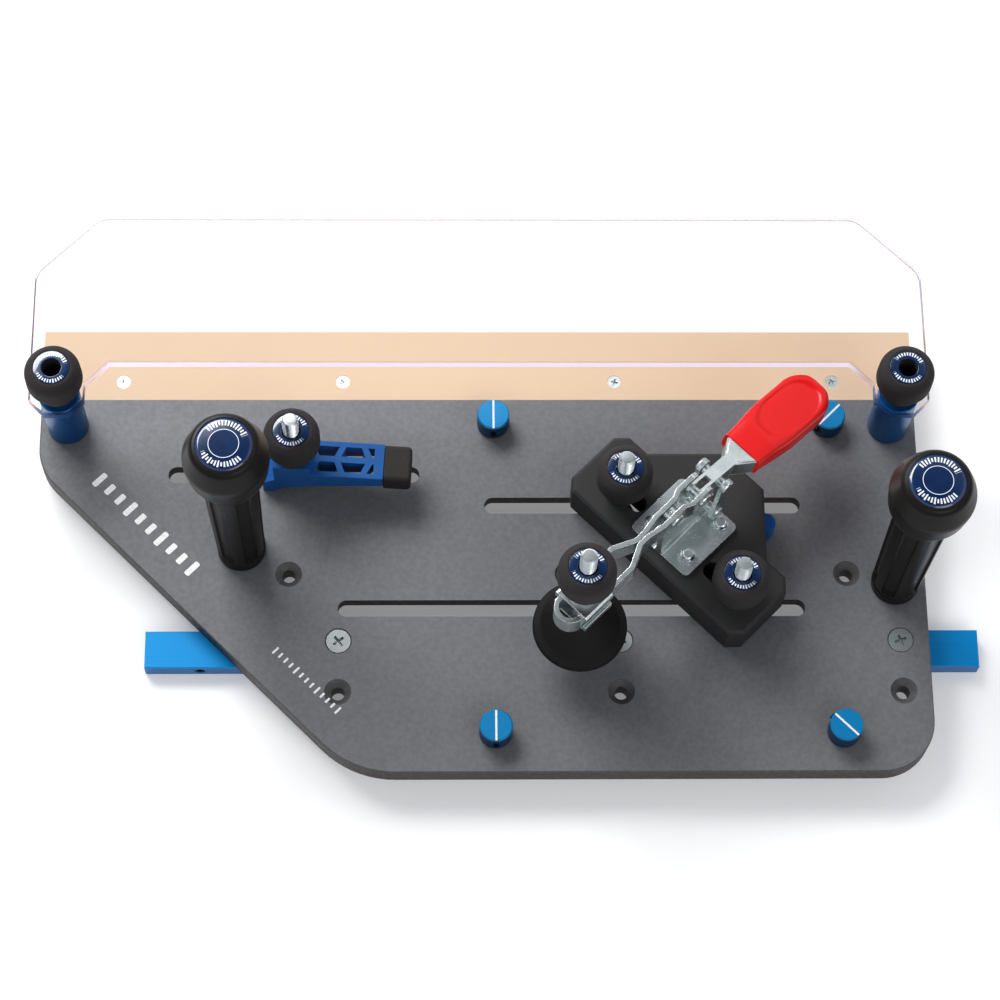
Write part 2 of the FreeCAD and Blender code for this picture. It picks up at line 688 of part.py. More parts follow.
def build_guard_bolts():
    head_top = z.bar_thick + head_recess
    length = guard_top + z.insert_height - head_top - z.edge_break
    master = hex_bolt("guard_bolt", length)
    places = [(x, y, head_top, 0.0) for x, y in post_places]
    shape_group("guard_bolts", copies_at(master, places))
    for side, (x, y) in zip(("left", "right"), post_places):
        build_knob(f"guard_knob_{side}", x, y, guard_top + z.free_gap, over_insert=True)


HANDLE_SKIRT = 2.6        # the head's step out over the grip
HANDLE_FLUTES = 6


def build_handle(side, x, y):
    """A fluted grip under a wide head, with a domed label let into its top."""
    body = new_body(f"handle_{side}", x, y, plate_top)
    foot = z.handle_foot_dia / 2
    top = z.handle_top_dia / 2
    head = z.handle_head_dia / 2
    label = z.handle_label_dia / 2 + z.fit_gap
    bore = bolt_radius + z.fit_gap
    depth = z.handle_bolt_depth + 1
    seat = z.handle_height - 1
    sketch = new_sketch(body, "XZ_Plane")
    outline(sketch, [
        (bore, 0.0), (foot - z.edge_break, 0.0), (foot, z.edge_break), (foot, z.handle_collar),
        (foot - 0.6, z.handle_collar + 0.6), (foot - 0.6, z.handle_collar + 1.2),
        (foot, z.handle_collar + 1.8), (top, z.handle_grip, 0.8),
        (top + HANDLE_SKIRT, z.handle_grip + 0.2, 1.5), (head, z.handle_grip + 17, 12.0),
        (head, z.handle_height - 8.5, 8.0), (label + 0.8, z.handle_height, 0.5),
        (label, z.handle_height - 0.3), (label, seat), (0.0, seat), (0.0, depth), (bore, depth)])
    revolve(sketch)
    doc.recompute()
    flute = new_sketch(body, "XY_Plane", z.handle_collar + 3)
    inner = foot - z.flute_depth
    half = z.flute_width / 2
    outline(flute, [(inner, -half), (inner + 6, -half), (inner + 6, half), (inner, half)])
    cut = pocket(flute, z.handle_grip - z.handle_collar - 7, reverse=True)
    polar(body, cut, HANDLE_FLUTES)
    badge = new_body(f"handle_{side}_label", x, y, plate_top + seat)
    dome = new_sketch(badge, "XZ_Plane")
    edge = z.handle_label_dia / 2
    outline(dome, [(0.0, 0.0), (edge, 0.0), (edge, 0.9), (edge - 1.5, 1.9, 2.0),
                   (edge * 0.5, 2.3, 20.0), (0.0, 2.4)])
    revolve(dome)


def build_handles():
    for side, (x, y) in zip(("left", "right"), handle_places):
        build_handle(side, x, y)
    head_top = z.bar_thick + head_recess
    master = hex_bolt("handle_bolt", plate_top + z.handle_bolt_depth - head_top)
    shape_group("handle_bolts", copies_at(master, [(x, y, head_top, 0.0) for x, y in handle_places]))


# ---- eccentric stop pins ---------------------------------------------------------------------

PIN_SEAT = 0.3


def build_stop_pins():
    post = new_body("stop_pin_post", node=False)
    radius = z.pin_post_dia / 2
    flare = z.pin_post_dia
    sketch = new_sketch(post, "XZ_Plane")
    bottom = -z.plate_thick
    outline(sketch, [(0.0, bottom), (flare - z.free_gap, bottom), (radius, bottom + flare / 2 - z.free_gap),
                     (radius, z.pin_post_height - 0.4), (radius - 0.4, z.pin_post_height),
                     (0.0, z.pin_post_height)])
    revolve(sketch)
    places = [(*pin_pivot(*place), plate_top, 0.0) for place in pins.values()]
    shape_group("stop_pin_posts", copies_at(post, places))
    for name, (x, y, turn) in pins.items():
        build_stop_pin(name, x, y, turn)


def build_stop_pin(name, x, y, turn):
    """The pin's own X axis runs along its index line, away from the pivot."""
    body = new_body(name, x, y, plate_top + PIN_SEAT, turn)
    radius = z.pin_dia / 2
    sketch = new_sketch(body, "XZ_Plane")
    outline(sketch, [(0.0, 0.0), (radius - 0.4, 0.0), (radius, 0.4), (radius, z.pin_height - 0.7),
                     (radius - 0.7, z.pin_height), (0.0, z.pin_height)])
    revolve(sketch)
    bore = new_sketch(body, "XY_Plane")
    circle(bore, -z.pin_offset, 0.0, z.pin_post_dia / 2 + z.fit_gap)
    pocket(bore, z.pin_post_height + z.free_gap, reverse=True)
    line = new_sketch(body, "XY_Plane", z.pin_height)
    half = z.pin_groove_width / 2
    outline(line, [(-radius - 1, -half), (radius + 1, -half), (radius + 1, half), (-radius - 1, half)])
    pocket(line, z.pin_groove_depth)
    way = new_sketch(body, "YZ_Plane", -radius - 1)
    circle(way, 0.0, z.pin_height / 2, z.pin_screw_dia / 2 + z.fit_gap)
    pocket(way, z.pin_screw_length + 3, reverse=True)
    master = set_screw(f"{name}_set_screw_master", z.pin_screw_dia, z.pin_screw_length)
    doc.recompute()
    # the screw lies along the index line, its socket at the pin's near side, its tip short of
    # the post
    piece = master.Shape.copy()
    tip = -z.pin_offset.value - z.pin_post_dia.value / 2 - z.free_gap.value
    face = tip - z.pin_screw_length.value
    local = Placement(Vector(face, 0, z.pin_height.value / 2), Rotation(Vector(0, 1, 0), -90))
    piece.Placement = body.Placement.multiply(local)
    screw = doc.addObject("Part::Feature", f"{name}_set_screw")
    screw.Label = f"{name}_set_screw"
    screw.Shape = piece
    nodes.append(screw)


# ---- hold-down clamp -------------------------------------------------------------------------

hold_x = -z.hold_x
hold_y = z.slot_one_y
# the arm's truss of windows: each one's inner and outer side, as shares of the way from the
# boss to the arm's end
ARM_WINDOWS = [((0.107, 0.318), (0.048, 0.380)), ((0.408, 0.746), (0.473, 0.682)),
               ((0.845, 0.865), (0.772, 0.865))]


def arm_station(share):
    return z.boss_front + (z.arm_end - z.boss_front) * share


def build_hold_down():
    arm = new_body("hold_down_arm", hold_x, hold_y, plate_top, HOLD_DOWN_TURN)
    side = new_sketch(arm, "XZ_Plane")
    end_low = z.arm_top - z.arm_end_thick
    outline(side, [
        (-z.heel_back, SLIDE_LIFT), (-z.boss_back - 1, SLIDE_LIFT), (-4.0, 6.0, 6.0), (z.boss_front, 9.5, 20.0),
        (z.arm_end, end_low), (z.arm_end, z.arm_top), (z.boss_front, z.arm_top),
        (z.boss_front, z.boss_top), (-z.boss_back, z.boss_top), (-z.boss_back, 14.5),
        (-z.heel_back, 9.5)])
    pad(side, z.arm_width, symmetric=True)
    hole = new_sketch(arm, "XY_Plane", z.boss_top)
    circle(hole, 0.0, 0.0, bolt_hole)
    pocket(hole, z.boss_top)
    windows = new_sketch(arm, "XY_Plane", z.arm_top)
    for mirror in (1, -1):
        inner, outer = z.window_inner * mirror, z.window_outer * mirror
        for inner_span, outer_span in ARM_WINDOWS:
            inner_ends = [arm_station(share) for share in inner_span]
            outer_ends = [arm_station(share) for share in outer_span]
            outline(windows, [(inner_ends[0], inner), (inner_ends[1], inner),
                              (outer_ends[1], outer), (outer_ends[0], outer)])
    pocket(windows, z.arm_top)
    fillet(arm, 0.6, lambda e: e.BoundBox.YLength < 1e-3 and e.Length > 5 and
           abs(abs(e.BoundBox.YMin) - number(z.arm_width) / 2) < 1e-3)
    tip = new_body("hold_down_pad", hold_x, hold_y, plate_top, HOLD_DOWN_TURN)
    block = new_sketch(tip, "XZ_Plane")
    far = z.arm_end + z.pad_length
    outline(block, [(z.arm_end, end_low - z.pad_drop), (far, end_low - z.pad_drop, 1.5),
                    (far, z.arm_top, 1.5), (z.arm_end, z.arm_top)])
    pad(block, z.arm_width, symmetric=True)
    fillet(tip, 2.5, lambda e: e.BoundBox.ZLength > 5 and e.BoundBox.XMin > number(far) - 0.01)
    head_top = z.bar_thick + head_recess
    knob_low = plate_top + z.boss_top + z.free_gap
    length = knob_low + z.knob_height + z.stud_reach - head_top
    hex_bolt("hold_down_bolt", length, node=True, x=hold_x, y=hold_y, height=head_top - SLIDE_LIFT)
    build_knob("hold_down_knob", hold_x, hold_y, knob_low)


# ---- carrier plate ---------------------------------------------------------------------------

# the carrier's own frame: X points back across its depth, Y runs along its long edge
carrier_top = plate_top + z.carrier_thick
slot_two_side = (z.slot_two_y - z.carrier_y) / ROOT_HALF - z.carrier_slot_back
slot_three_side = (z.slot_three_y - z.carrier_y) / ROOT_HALF - z.carrier_slot_back


def carrier_to_plate(x, y):
    """The plate's X of a point on the carrier's own frame."""
    return z.carrier_x + (x - y) * ROOT_HALF


carrier_bolts = [
    (carrier_to_plate(z.carrier_slot_back, slot_two_side), z.slot_two_y),
    (carrier_to_plate(z.carrier_slot_back, slot_three_side), z.slot_three_y)]


def build_carrier():
    body = new_body("carrier_plate", z.carrier_x, z.carrier_y, plate_top + SLIDE_LIFT,
                    CARRIER_TURN)
    half, cut = z.carrier_half, z.carrier_corner
    side = [(0.0, half - cut), (cut, half), (z.carrier_side, half),
            (z.carrier_side + cut, half - cut), (z.carrier_side + cut, z.carrier_step_half),
            (z.carrier_depth, z.carrier_nose_half)]
    mirrored = [(x, -y) for x, y in reversed(side)]
    sketch = new_sketch(body, "XY_Plane")
    outline(sketch, side + mirrored)
    top = z.carrier_thick - SLIDE_LIFT
    pad(sketch, top)
    chamfer(body, z.carrier_bevel, level_at(top))
    for left, right in ((z.carrier_slot_inner, z.carrier_slot_outer),
                        (-z.carrier_slot_outer, -z.carrier_slot_inner)):
        way = new_sketch(body, "XY_Plane", top)
        run_along_y(way, left, right, z.carrier_slot_back, z.slot_width / 2)
        pocket(way, top)
    bores = new_sketch(body, "XY_Plane", top)
    for x, y in base_bolt_places:
        circle(bores, x, y, z.base_bolt_dia / 2 + z.fit_gap)
    pocket(bores, top)
    heads = new_sketch(body, "XY_Plane")
    for x, y in base_bolt_places:
        circle(heads, x, y, z.base_bolt_dia + z.free_gap)
    pocket(heads, z.base_bolt_dia, reverse=True)
    seat = new_sketch(body, "XY_Plane")
    circle(seat, *button_place, z.button_dia / 2 + z.fit_gap)
    pocket(seat, BUTTON_HEIGHT, reverse=True)


def run_along_y(sketch, low, high, x, radius):
    """A slot along the sketch's Y axis."""
    y_low, y_high = low + radius, high - radius
    ends = [Vector(number(x), number(y), 0) for y in (y_low, y_high)]
    rings = [Part.Circle(end, Vector(0, 0, 1), number(radius)) for end in ends]
    side = Vector(number(radius), 0, 0)
    low_arc = sketch.addGeometry(Part.ArcOfCircle(rings[0], math.pi, 2 * math.pi))
    high_arc = sketch.addGeometry(Part.ArcOfCircle(rings[1], 0, math.pi))
    right = sketch.addGeometry(Part.LineSegment(ends[0] + side, ends[1] + side))
    left = sketch.addGeometry(Part.LineSegment(ends[1] - side, ends[0] - side))
    sketch.addConstraint([
        Sketcher.Constraint("Tangent", low_arc, 2, right, 1),
        Sketcher.Constraint("Tangent", right, 2, high_arc, 1),
        Sketcher.Constraint("Tangent", high_arc, 2, left, 1),
        Sketcher.Constraint("Tangent", left, 2, low_arc, 1)])
    pin_point(sketch, low_arc, 3, x, y_low)
    add_bound(sketch, Sketcher.Constraint("DistanceY", -1, 1, high_arc, 3, number(y_high)), y_high)
    add_bound(sketch, Sketcher.Constraint("Radius", low_arc, number(radius)), radius)


BUTTON_HEIGHT = 12.0
button_place = (z.carrier_depth - 9.6, -z.carrier_nose_half - 11.0)
base_bolt_places = [(z.base_bolt_front + z.base_bolt_pitch * i, z.base_bolt_side * s)
                    for i in (0, 1) for s in (-1, 1)]


def build_carrier_button():
    """A round insert in the carrier's slanted edge, standing a little proud of it."""
    body = new_body("carrier_button", z.carrier_x, z.carrier_y, plate_top + SLIDE_LIFT,
                    CARRIER_TURN)
    sketch = new_sketch(body, "XY_Plane")
    circle(sketch, *button_place, z.button_dia / 2)
    pad(sketch, BUTTON_HEIGHT)


def build_carrier_bolts():
    head_top = z.bar_thick + head_recess
    washer_low = carrier_top + z.free_gap
    knob_low = washer_low + z.washer_thick + z.free_gap
    length = knob_low + z.knob_height + z.stud_reach - head_top
    master = hex_bolt("carrier_bolt", length)
    places = [(x, y, head_top - SLIDE_LIFT, 0.0) for x, y in carrier_bolts]
    shape_group("carrier_bolts", copies_at(master, places))
    ring = new_body("carrier_washer", node=False)
    sketch = new_sketch(ring, "XZ_Plane")
    outline(sketch, [(knob_bore, 0.0), (z.washer_dia / 2, 0.0), (z.washer_dia / 2, z.washer_thick),
                     (knob_bore, z.washer_thick)])
    revolve(sketch)
    shape_group("carrier_washers", copies_at(ring, [(x, y, washer_low, 0.0) for x, y in carrier_bolts]))
    for side, (x, y) in zip(("back", "front"), carrier_bolts):
        build_knob(f"carrier_knob_{side}", x, y, knob_low)


# ---- toggle clamp ----------------------------------------------------------------------------

# the clamp's frame is the carrier's, raised to its top: X back along the lever, Z up
LEVER_TILT = 14.0        # the closed lever slopes down towards its grip
clamp_place = (z.carrier_x, z.carrier_y, carrier_top, CARRIER_TURN)
strip_front = z.web_thick + z.layer_gap
cheek_inner = strip_front
strip_back = strip_front + z.cheek_thick + z.layer_gap
link_side = strip_back + z.strip_thick + z.layer_gap
pin_hole = z.pivot_dia / 2 + z.fit_gap


def build_clamp_base():
    column_back = z.pivot_arm_x + z.lug_radius - 1
    column_top = z.pivot_arm_z + z.lug_radius
    shelf = z.pivot_link_z + z.lug_radius
    for side, sign in (("left", 1), ("right", -1)):
        body = new_body(f"clamp_base_{side}", *clamp_place)
        web = new_sketch(body, "XZ_Plane")
        outline(web, [
            (z.flange_front, 0.0), (z.flange_back, 0.0), (z.flange_back, shelf, 4.0),
            (z.pivot_link_x - 7, shelf, 6.0), (column_back, z.pivot_arm_z - 21, 6.0),
            (column_back, column_top, 4.0), (z.flange_front, column_top, 4.0)])
        pad(web, z.web_thick, reverse=sign > 0)
        flange = new_sketch(body, "XY_Plane")
        outer = z.flange_half * sign
        outline(flange, [(z.flange_front, 0.0), (z.flange_back, 0.0), (z.flange_back, outer, 3.0),
                         (z.flange_front, outer, 3.0)])
        pad(flange, z.flange_thick)
        holes = new_sketch(body, "XZ_Plane", z.web_thick * -sign)
        for x, height in ((z.pivot_arm_x, z.pivot_arm_z), (z.pivot_link_x, z.pivot_link_z)):
            circle(holes, x, height, pin_hole)
        pocket(holes, z.web_thick, reverse=sign > 0)
        bores = new_sketch(body, "XY_Plane", z.flange_thick)
        for i in (0, 1):
            circle(bores, z.base_bolt_front + z.base_bolt_pitch * i, z.base_bolt_side * sign,
                   z.base_bolt_dia / 2 + z.fit_gap)
        pocket(bores, z.flange_thick)
        bend = number(z.web_thick)
        fillet(body, 1.5, lambda e: e.BoundBox.XLength > 20 and e.BoundBox.YLength < 1e-3 and
               abs(abs(e.BoundBox.YMin) - bend) < 1e-3 and
               abs(e.BoundBox.ZMin - number(z.flange_thick)) < 1e-3)


def clamp_copies(master, places):
    """Copies of a master solid in the clamp's frame, at (x, y, height, rotation)."""
    doc.recompute()
    x, y, height, turn = clamp_place
    frame = Placement(Vector(number(x), number(y), number(height)), Rotation(Vector(0, 0, 1), turn))
    pieces = []
    for px, py, pz, rotation in places:
        piece = master.Shape.copy()
        local = Placement(Vector(number(px), number(py), number(pz)), rotation)
        piece.Placement = frame.multiply(local)
        pieces.append(piece)
    return pieces


UPRIGHT = Rotation()
UPSIDE_DOWN = Rotation(Vector(1, 0, 0), 180)
ALONG_Y = Rotation(Vector(1, 0, 0), -90)


def build_clamp_fasteners():
    bolt = new_body("clamp_base_bolt", node=False)
    head = new_sketch(bolt, "XY_Plane")
    circle(head, 0.0, 0.0, z.base_bolt_dia)
    pad(head, z.base_bolt_dia - z.free_gap * 2)
    shank = new_sketch(bolt, "XY_Plane")
    circle(shank, 0.0, 0.0, z.base_bolt_dia / 2)
    grip = z.carrier_thick - SLIDE_LIFT - z.free_gap + z.flange_thick + z.base_nut_height - 1
    pad(shank, grip)
    low = -(z.carrier_thick - SLIDE_LIFT) + z.free_gap
    shape_group("clamp_base_bolts", clamp_copies(
        bolt, [(x, y, low, UPRIGHT) for x, y in base_bolt_places]))
    nut = new_body("clamp_base_nut", node=False)
    wall = new_sketch(nut, "XY_Plane")
    hexagon(wall, z.base_nut_flats)
    pad(wall, z.base_nut_height * 0.6)
    dome = new_sketch(nut, "XZ_Plane")
    outline(dome, [(0.0, 0.0), (z.base_nut_flats / 2, 0.0),
                   (z.base_nut_flats / 2 - 0.3, z.base_nut_height * 0.62),
                   (z.base_nut_flats * 0.36, z.base_nut_height, 1.6), (0.0, z.base_nut_height)])
    revolve(dome)
    collar = new_sketch(nut, "XY_Plane")
    circle(collar, 0.0, 0.0, z.base_nut_flats / 2 + 0.7)
    pad(collar, 0.8)
    bore = new_sketch(nut, "XY_Plane")
    circle(bore, 0.0, 0.0, z.base_bolt_dia / 2 + z.fit_gap)
    pocket(bore, z.base_nut_height - 0.9, reverse=True)
    shape_group("clamp_base_nuts", clamp_copies(
        nut, [(x, y, z.flange_thick, UPRIGHT) for x, y in base_bolt_places]))


def rivet(name, half_span):
    """A headed pin on its own Z axis, centred on height zero."""
    body = new_body(name, node=False)
    shank = new_sketch(body, "XZ_Plane")
    radius, head = z.pivot_dia / 2, z.pivot_head_dia / 2
    top = half_span + z.pivot_head
    outline(shank, [(0.0, -top), (head - 0.5, -top), (head, -half_span), (radius, -half_span),
                    (radius, half_span), (head, half_span), (head - 0.5, top), (0.0, top)])
    revolve(shank)
    return body


def build_rivets():
    front = rivet("clamp_arm_pin", strip_front + z.strip_thick + z.fit_gap)
    middle = rivet("clamp_lever_pin", strip_back + z.strip_thick + z.fit_gap)
    back = rivet("clamp_link_pin", link_side + z.strip_thick + z.fit_gap)
    shape_group("clamp_base_rivets",
                clamp_copies(front, [(z.pivot_arm_x, 0.0, z.pivot_arm_z, ALONG_Y)]) +
                clamp_copies(back, [(z.pivot_link_x, 0.0, z.pivot_link_z, ALONG_Y)]))
    shape_group("clamp_arm_rivet",
                clamp_copies(middle, [(z.pivot_lever_x, 0.0, z.pivot_lever_z, ALONG_Y)]))
    short = new_body("clamp_short_pin", node=False)
    sketch = new_sketch(short, "XZ_Plane")
    radius, head = z.pivot_dia / 2, z.pivot_head_dia / 2
    outline(sketch, [(0.0, 0.0), (radius, 0.0), (radius, z.strip_thick), (head, z.strip_thick),
                     (head - 0.5, z.strip_thick + z.pivot_head),
                     (0.0, z.strip_thick + z.pivot_head)])
    revolve(sketch)
    shape_group("clamp_link_rivets", clamp_copies(short, [
        (z.pivot_open_x, link_side, z.pivot_open_z, ALONG_Y),
        (z.pivot_open_x, -link_side, z.pivot_open_z, Rotation(Vector(1, 0, 0), 90))]))


def build_clamp_arm():
    """One strip bent into a U, pinched behind the spindle and opened again round the base."""
    body = new_body("clamp_arm", *clamp_place)
    thick = z.strip_thick
    wide_in, wide_out = z.arm_opening, z.arm_opening + thick
    pinch_in, pinch_out = 0.1, thick + 0.1
    tip = -z.arm_tip
    outer = [
        (z.strip_end, strip_back + thick), (z.pivot_arm_x + 9.2, strip_back + thick, 3.0),
        (z.pivot_arm_x + 5.2, strip_front + thick, 3.0), (z.pivot_arm_x - 8, strip_front + thick, 3.0),
        (-z.pinch_back, pinch_out, 3.0), (-z.pinch_front, pinch_out, 3.0),
        (-z.pinch_front - 11, wide_out, 4.0), (tip - wide_out, wide_out, wide_out - 0.1)]
    inner = [
        (z.strip_end, strip_back), (z.pivot_arm_x + 9.6, strip_back, 3.0),
        (z.pivot_arm_x + 5.6, strip_front, 3.0), (z.pivot_arm_x - 8, strip_front, 3.0),
        (-z.pinch_back, pinch_in, 3.0), (-z.pinch_front - 0.9, pinch_in, 3.0),
        (-z.pinch_front - 11.9, wide_in, 3.0), (tip - wide_in, wide_in, wide_in - 0.1)]

    def below(points):
        return [(c[0], -c[1], *c[2:]) for c in reversed(points)]

    sketch = new_sketch(body, "XY_Plane", z.strip_low)
    outline(sketch, outer + below(outer) + inner_loop(inner, below(inner)))
    pad(sketch, z.strip_top - z.strip_low)
    holes = new_sketch(body, "XZ_Plane")
    for x, height in ((z.pivot_arm_x, z.pivot_arm_z), (z.pivot_lever_x, z.pivot_lever_z)):
        circle(holes, x, height, pin_hole)
    pocket(holes, z.knob_dia, symmetric=True)
    end = number(z.strip_end)
    fillet(body, 4.5, lambda e: e.BoundBox.XMin > end - 1e-3 and e.BoundBox.ZLength < 1e-3)


def inner_loop(upper, lower):
    """The inner side of the U, walked back from the lower end to the upper one."""
    return [lower_point for lower_point in reversed(lower)] + list(reversed(upper))


def tilted_body(name, x, height, tilt):
    """A body in the clamp's frame whose X axis is tipped down by an angle."""
    body = new_body(name, *clamp_place)
    local = Placement(Vector(number(x), 0, number(height)), Rotation(Vector(0, 1, 0), tilt))
    for axis in "xyz":
        body.setExpression(f"Placement.Base.{axis}", None)
    body.Placement = body.Placement.multiply(local)
    return body


def build_lever():
    """The lever: two cheeks at the pivots that widen into an open channel."""
    body = tilted_body("clamp_lever", z.pivot_open_x, z.pivot_open_z, LEVER_TILT)
    tilt = math.radians(LEVER_TILT)
    run = z.pivot_lever_x - z.pivot_open_x
    rise = z.pivot_lever_z - z.pivot_open_z
    pivot_x = run * math.cos(tilt) - rise * math.sin(tilt)
    pivot_z = run * math.sin(tilt) + rise * math.cos(tilt)
    cheek = cheek_inner + z.cheek_thick
    half = z.lever_depth / 2
    front = pivot_x - z.lug_radius
    shell = new_sketch(body, "XY_Plane", -half)
    outline(shell, [(front, -cheek), (z.lever_neck, -cheek), (z.grip_start, -z.lever_half),
                    (z.lever_length, -z.lever_half), (z.lever_length, z.lever_half),
                    (z.grip_start, z.lever_half), (z.lever_neck, cheek), (front, cheek)])
    pad(shell, z.lever_depth)
    fillet(body, 1.5, lambda e: e.BoundBox.ZMin > number(half) - 1e-3 and
           e.BoundBox.XLength > 5 and e.BoundBox.XMin > number(z.lever_neck) - 1e-3)
    hollow = new_sketch(body, "XY_Plane", -half)
    inside = z.lever_half - z.sheet_thick
    outline(hollow, [(front - 1, -cheek_inner), (z.lever_neck, -cheek_inner),
                     (z.grip_start, -inside), (z.lever_length + 1, -inside),
                     (z.lever_length + 1, inside), (z.grip_start, inside),
                     (z.lever_neck, cheek_inner), (front - 1, cheek_inner)])
    pocket(hollow, z.lever_depth - z.sheet_thick, reverse=True)
    gap = new_sketch(body, "XY_Plane", half)
    outline(gap, [(front - 1, -cheek_inner), (-6.0, -cheek_inner), (-6.0, cheek_inner),
                  (front - 1, cheek_inner)])
    pocket(gap, z.lever_depth)
    hole = new_sketch(body, "XZ_Plane")
    circle(hole, pivot_x, pivot_z, pin_hole)
    pocket(hole, z.knob_dia, symmetric=True)
    pin = new_sketch(body, "XZ_Plane")
    circle(pin, 0.0, 0.0, z.pivot_dia / 2)
    pad(pin, (strip_back + z.strip_thick) * 2, symmetric=True)
    fillet(body, half * 0.8, lambda e: e.BoundBox.XMax < number(front) + 1e-3 and
           e.BoundBox.ZLength < 1e-3)


def build_grip():
    body = tilted_body("clamp_grip", z.pivot_open_x, z.pivot_open_z, LEVER_TILT)
    start, end = z.grip_start, z.grip_start + z.grip_length
    half = z.grip_half
    waist = z.lever_half + z.fit_gap + 1
    sketch = new_sketch(body, "XY_Plane", -z.grip_thick / 2)
    outline(sketch, [(start, -waist), (start + 22, -half, 30.0), (end, -half, half - 2),
                     (end, half, half - 2), (start + 22, half, 30.0), (start, waist)])
    pad(sketch, z.grip_thick)
    flat = number(z.grip_thick) / 2
    fillet(body, 4.0, lambda e: abs(abs(e.BoundBox.ZMin) - flat) < 1e-3 and
           e.BoundBox.ZLength < 1e-3 and e.BoundBox.XMax > number(start) + 1)
    socket = new_sketch(body, "YZ_Plane", start)
    wide, deep = z.lever_half + z.fit_gap, z.lever_depth / 2 + z.fit_gap
    outline(socket, [(-wide, -deep), (wide, -deep), (wide, deep), (-wide, deep)])
    pocket(socket, z.lever_length - z.grip_start + z.free_gap, reverse=True)


def build_links():
    run = z.pivot_open_x - z.pivot_link_x
    rise = z.pivot_open_z - z.pivot_link_z
    length = math.hypot(run.value, rise.value)
    body = new_body("clamp_link", node=False)
    sketch = new_sketch(body, "XY_Plane")
    stadium(sketch, -z.link_half, z.link_half + length, 0.0, z.link_half)
    pad(sketch, z.strip_thick)
    holes = new_sketch(body, "XY_Plane")
    for x in (0.0, length):
        circle(holes, x, 0.0, pin_hole)
    pocket(holes, z.strip_thick, reverse=True)
    lean = math.degrees(math.atan2(rise.value, run.value))
    on_edge = Rotation(Vector(0, 1, 0), -lean).multiply(Rotation(Vector(1, 0, 0), -90))
    shape_group("clamp_links", clamp_copies(body, [
        (z.pivot_link_x, link_side, z.pivot_link_z, on_edge),
        (z.pivot_link_x, -link_side - z.strip_thick, z.pivot_link_z, on_edge)]))


# ---- spindle, saddle washers and foot --------------------------------------------------------

SADDLE_GAP = 0.1          # the saddle washers slide along the strip
FOOT_FLOOR = 7.0          # rubber left under the spindle's end


def hex_nut(name):
    body = new_body(name, node=False)
    wall = new_sketch(body, "XY_Plane")
    hexagon(wall, z.bolt_flats)
    pad(wall, z.nut_height)
    bore = new_sketch(body, "XY_Plane")
    circle(bore, 0.0, 0.0, knob_bore)
    pocket(bore, z.nut_height, reverse=True)
    return body


def build_spindle():
    saddle = new_body("spindle_saddle", node=False)
    lip_inner = z.arm_opening + z.strip_thick + z.free_gap
    lip_outer = lip_inner + z.saddle_thick
    section = new_sketch(saddle, "YZ_Plane")
    outline(section, [
        (-lip_outer, -z.saddle_lip), (-lip_inner, -z.saddle_lip), (-lip_inner, 0.0),
        (lip_inner, 0.0), (lip_inner, -z.saddle_lip), (lip_outer, -z.saddle_lip),
        (lip_outer, z.saddle_thick, 1.5), (-lip_outer, z.saddle_thick, 1.5)])
    pad(section, z.saddle_half * 2, symmetric=True)
    hole = new_sketch(saddle, "XY_Plane")
    circle(hole, 0.0, 0.0, knob_bore)
    pocket(hole, z.saddle_thick, reverse=True)
    x = -z.spindle_front
    upper, lower = z.strip_top + SADDLE_GAP, z.strip_low - SADDLE_GAP
    shape_group("spindle_washers", clamp_copies(saddle, [
        (x, 0.0, upper, UPRIGHT), (x, 0.0, lower, UPSIDE_DOWN)]))
    nut = hex_nut("spindle_nut")
    nut_low = lower - z.saddle_thick - z.nut_height
    nut_high = upper + z.saddle_thick
    shape_group("spindle_nuts", clamp_copies(nut, [
        (x, 0.0, nut_low, Rotation(Vector(0, 0, 1), 20)), (x, 0.0, nut_high, UPRIGHT)]))
    foot_low = z.foot_low - z.carrier_thick
    foot_top = nut_low - z.free_gap
    socket = foot_low + FOOT_FLOOR
    rod = new_body("spindle_bolt", *spindle_place(socket))
    shank = new_sketch(rod, "XZ_Plane")
    length = z.spindle_top - z.carrier_thick - socket
    outline(shank, [(0.0, 0.0), (bolt_radius, 0.0), (bolt_radius, length - 1),
                    (bolt_radius - 1, length), (0.0, length)])
    revolve(shank)
    foot = new_body("spindle_foot", *spindle_place(foot_low))
    cup = new_sketch(foot, "XZ_Plane")
    rim, neck = z.foot_dia / 2, z.foot_neck_dia / 2
    height = foot_top - foot_low
    outline(cup, [(0.0, 0.0), (rim - 1.5, 0.0), (rim, z.foot_rim * 0.5, 1.2), (rim, z.foot_rim, 1.5),
                  (neck, height - 3, 3.0), (neck, height, 1.0), (knob_bore, height),
                  (knob_bore, FOOT_FLOOR), (0.0, FOOT_FLOOR)])
    revolve(cup)
    x, y, height, turn = spindle_place(nut_high + z.nut_height + z.washer_thick + z.free_gap)
    build_knob("spindle_knob", x, y, height)


def spindle_place(height):
    """The place in the plate's frame of a height on the spindle's axis."""
    return (z.carrier_x - z.spindle_front * ROOT_HALF, z.carrier_y - z.spindle_front * ROOT_HALF,
            carrier_top + height, CARRIER_TURN)


# ---- build and export ------------------------------------------------------------------------

BUILD_STEPS = [
    build_base_plate, build_backer, build_backer_screws, build_mitre_bar, build_bar_screws,
    build_set_screws, build_posts, build_guard, build_guard_bolts, build_handles, build_stop_pins,
    build_hold_down, build_carrier, build_carrier_button, build_carrier_bolts, build_clamp_base,
    build_clamp_fasteners, build_rivets, build_clamp_arm, build_lever, build_grip, build_links,
    build_spindle,
]

for build_step in BUILD_STEPS:
    build_step()
doc.recompute()

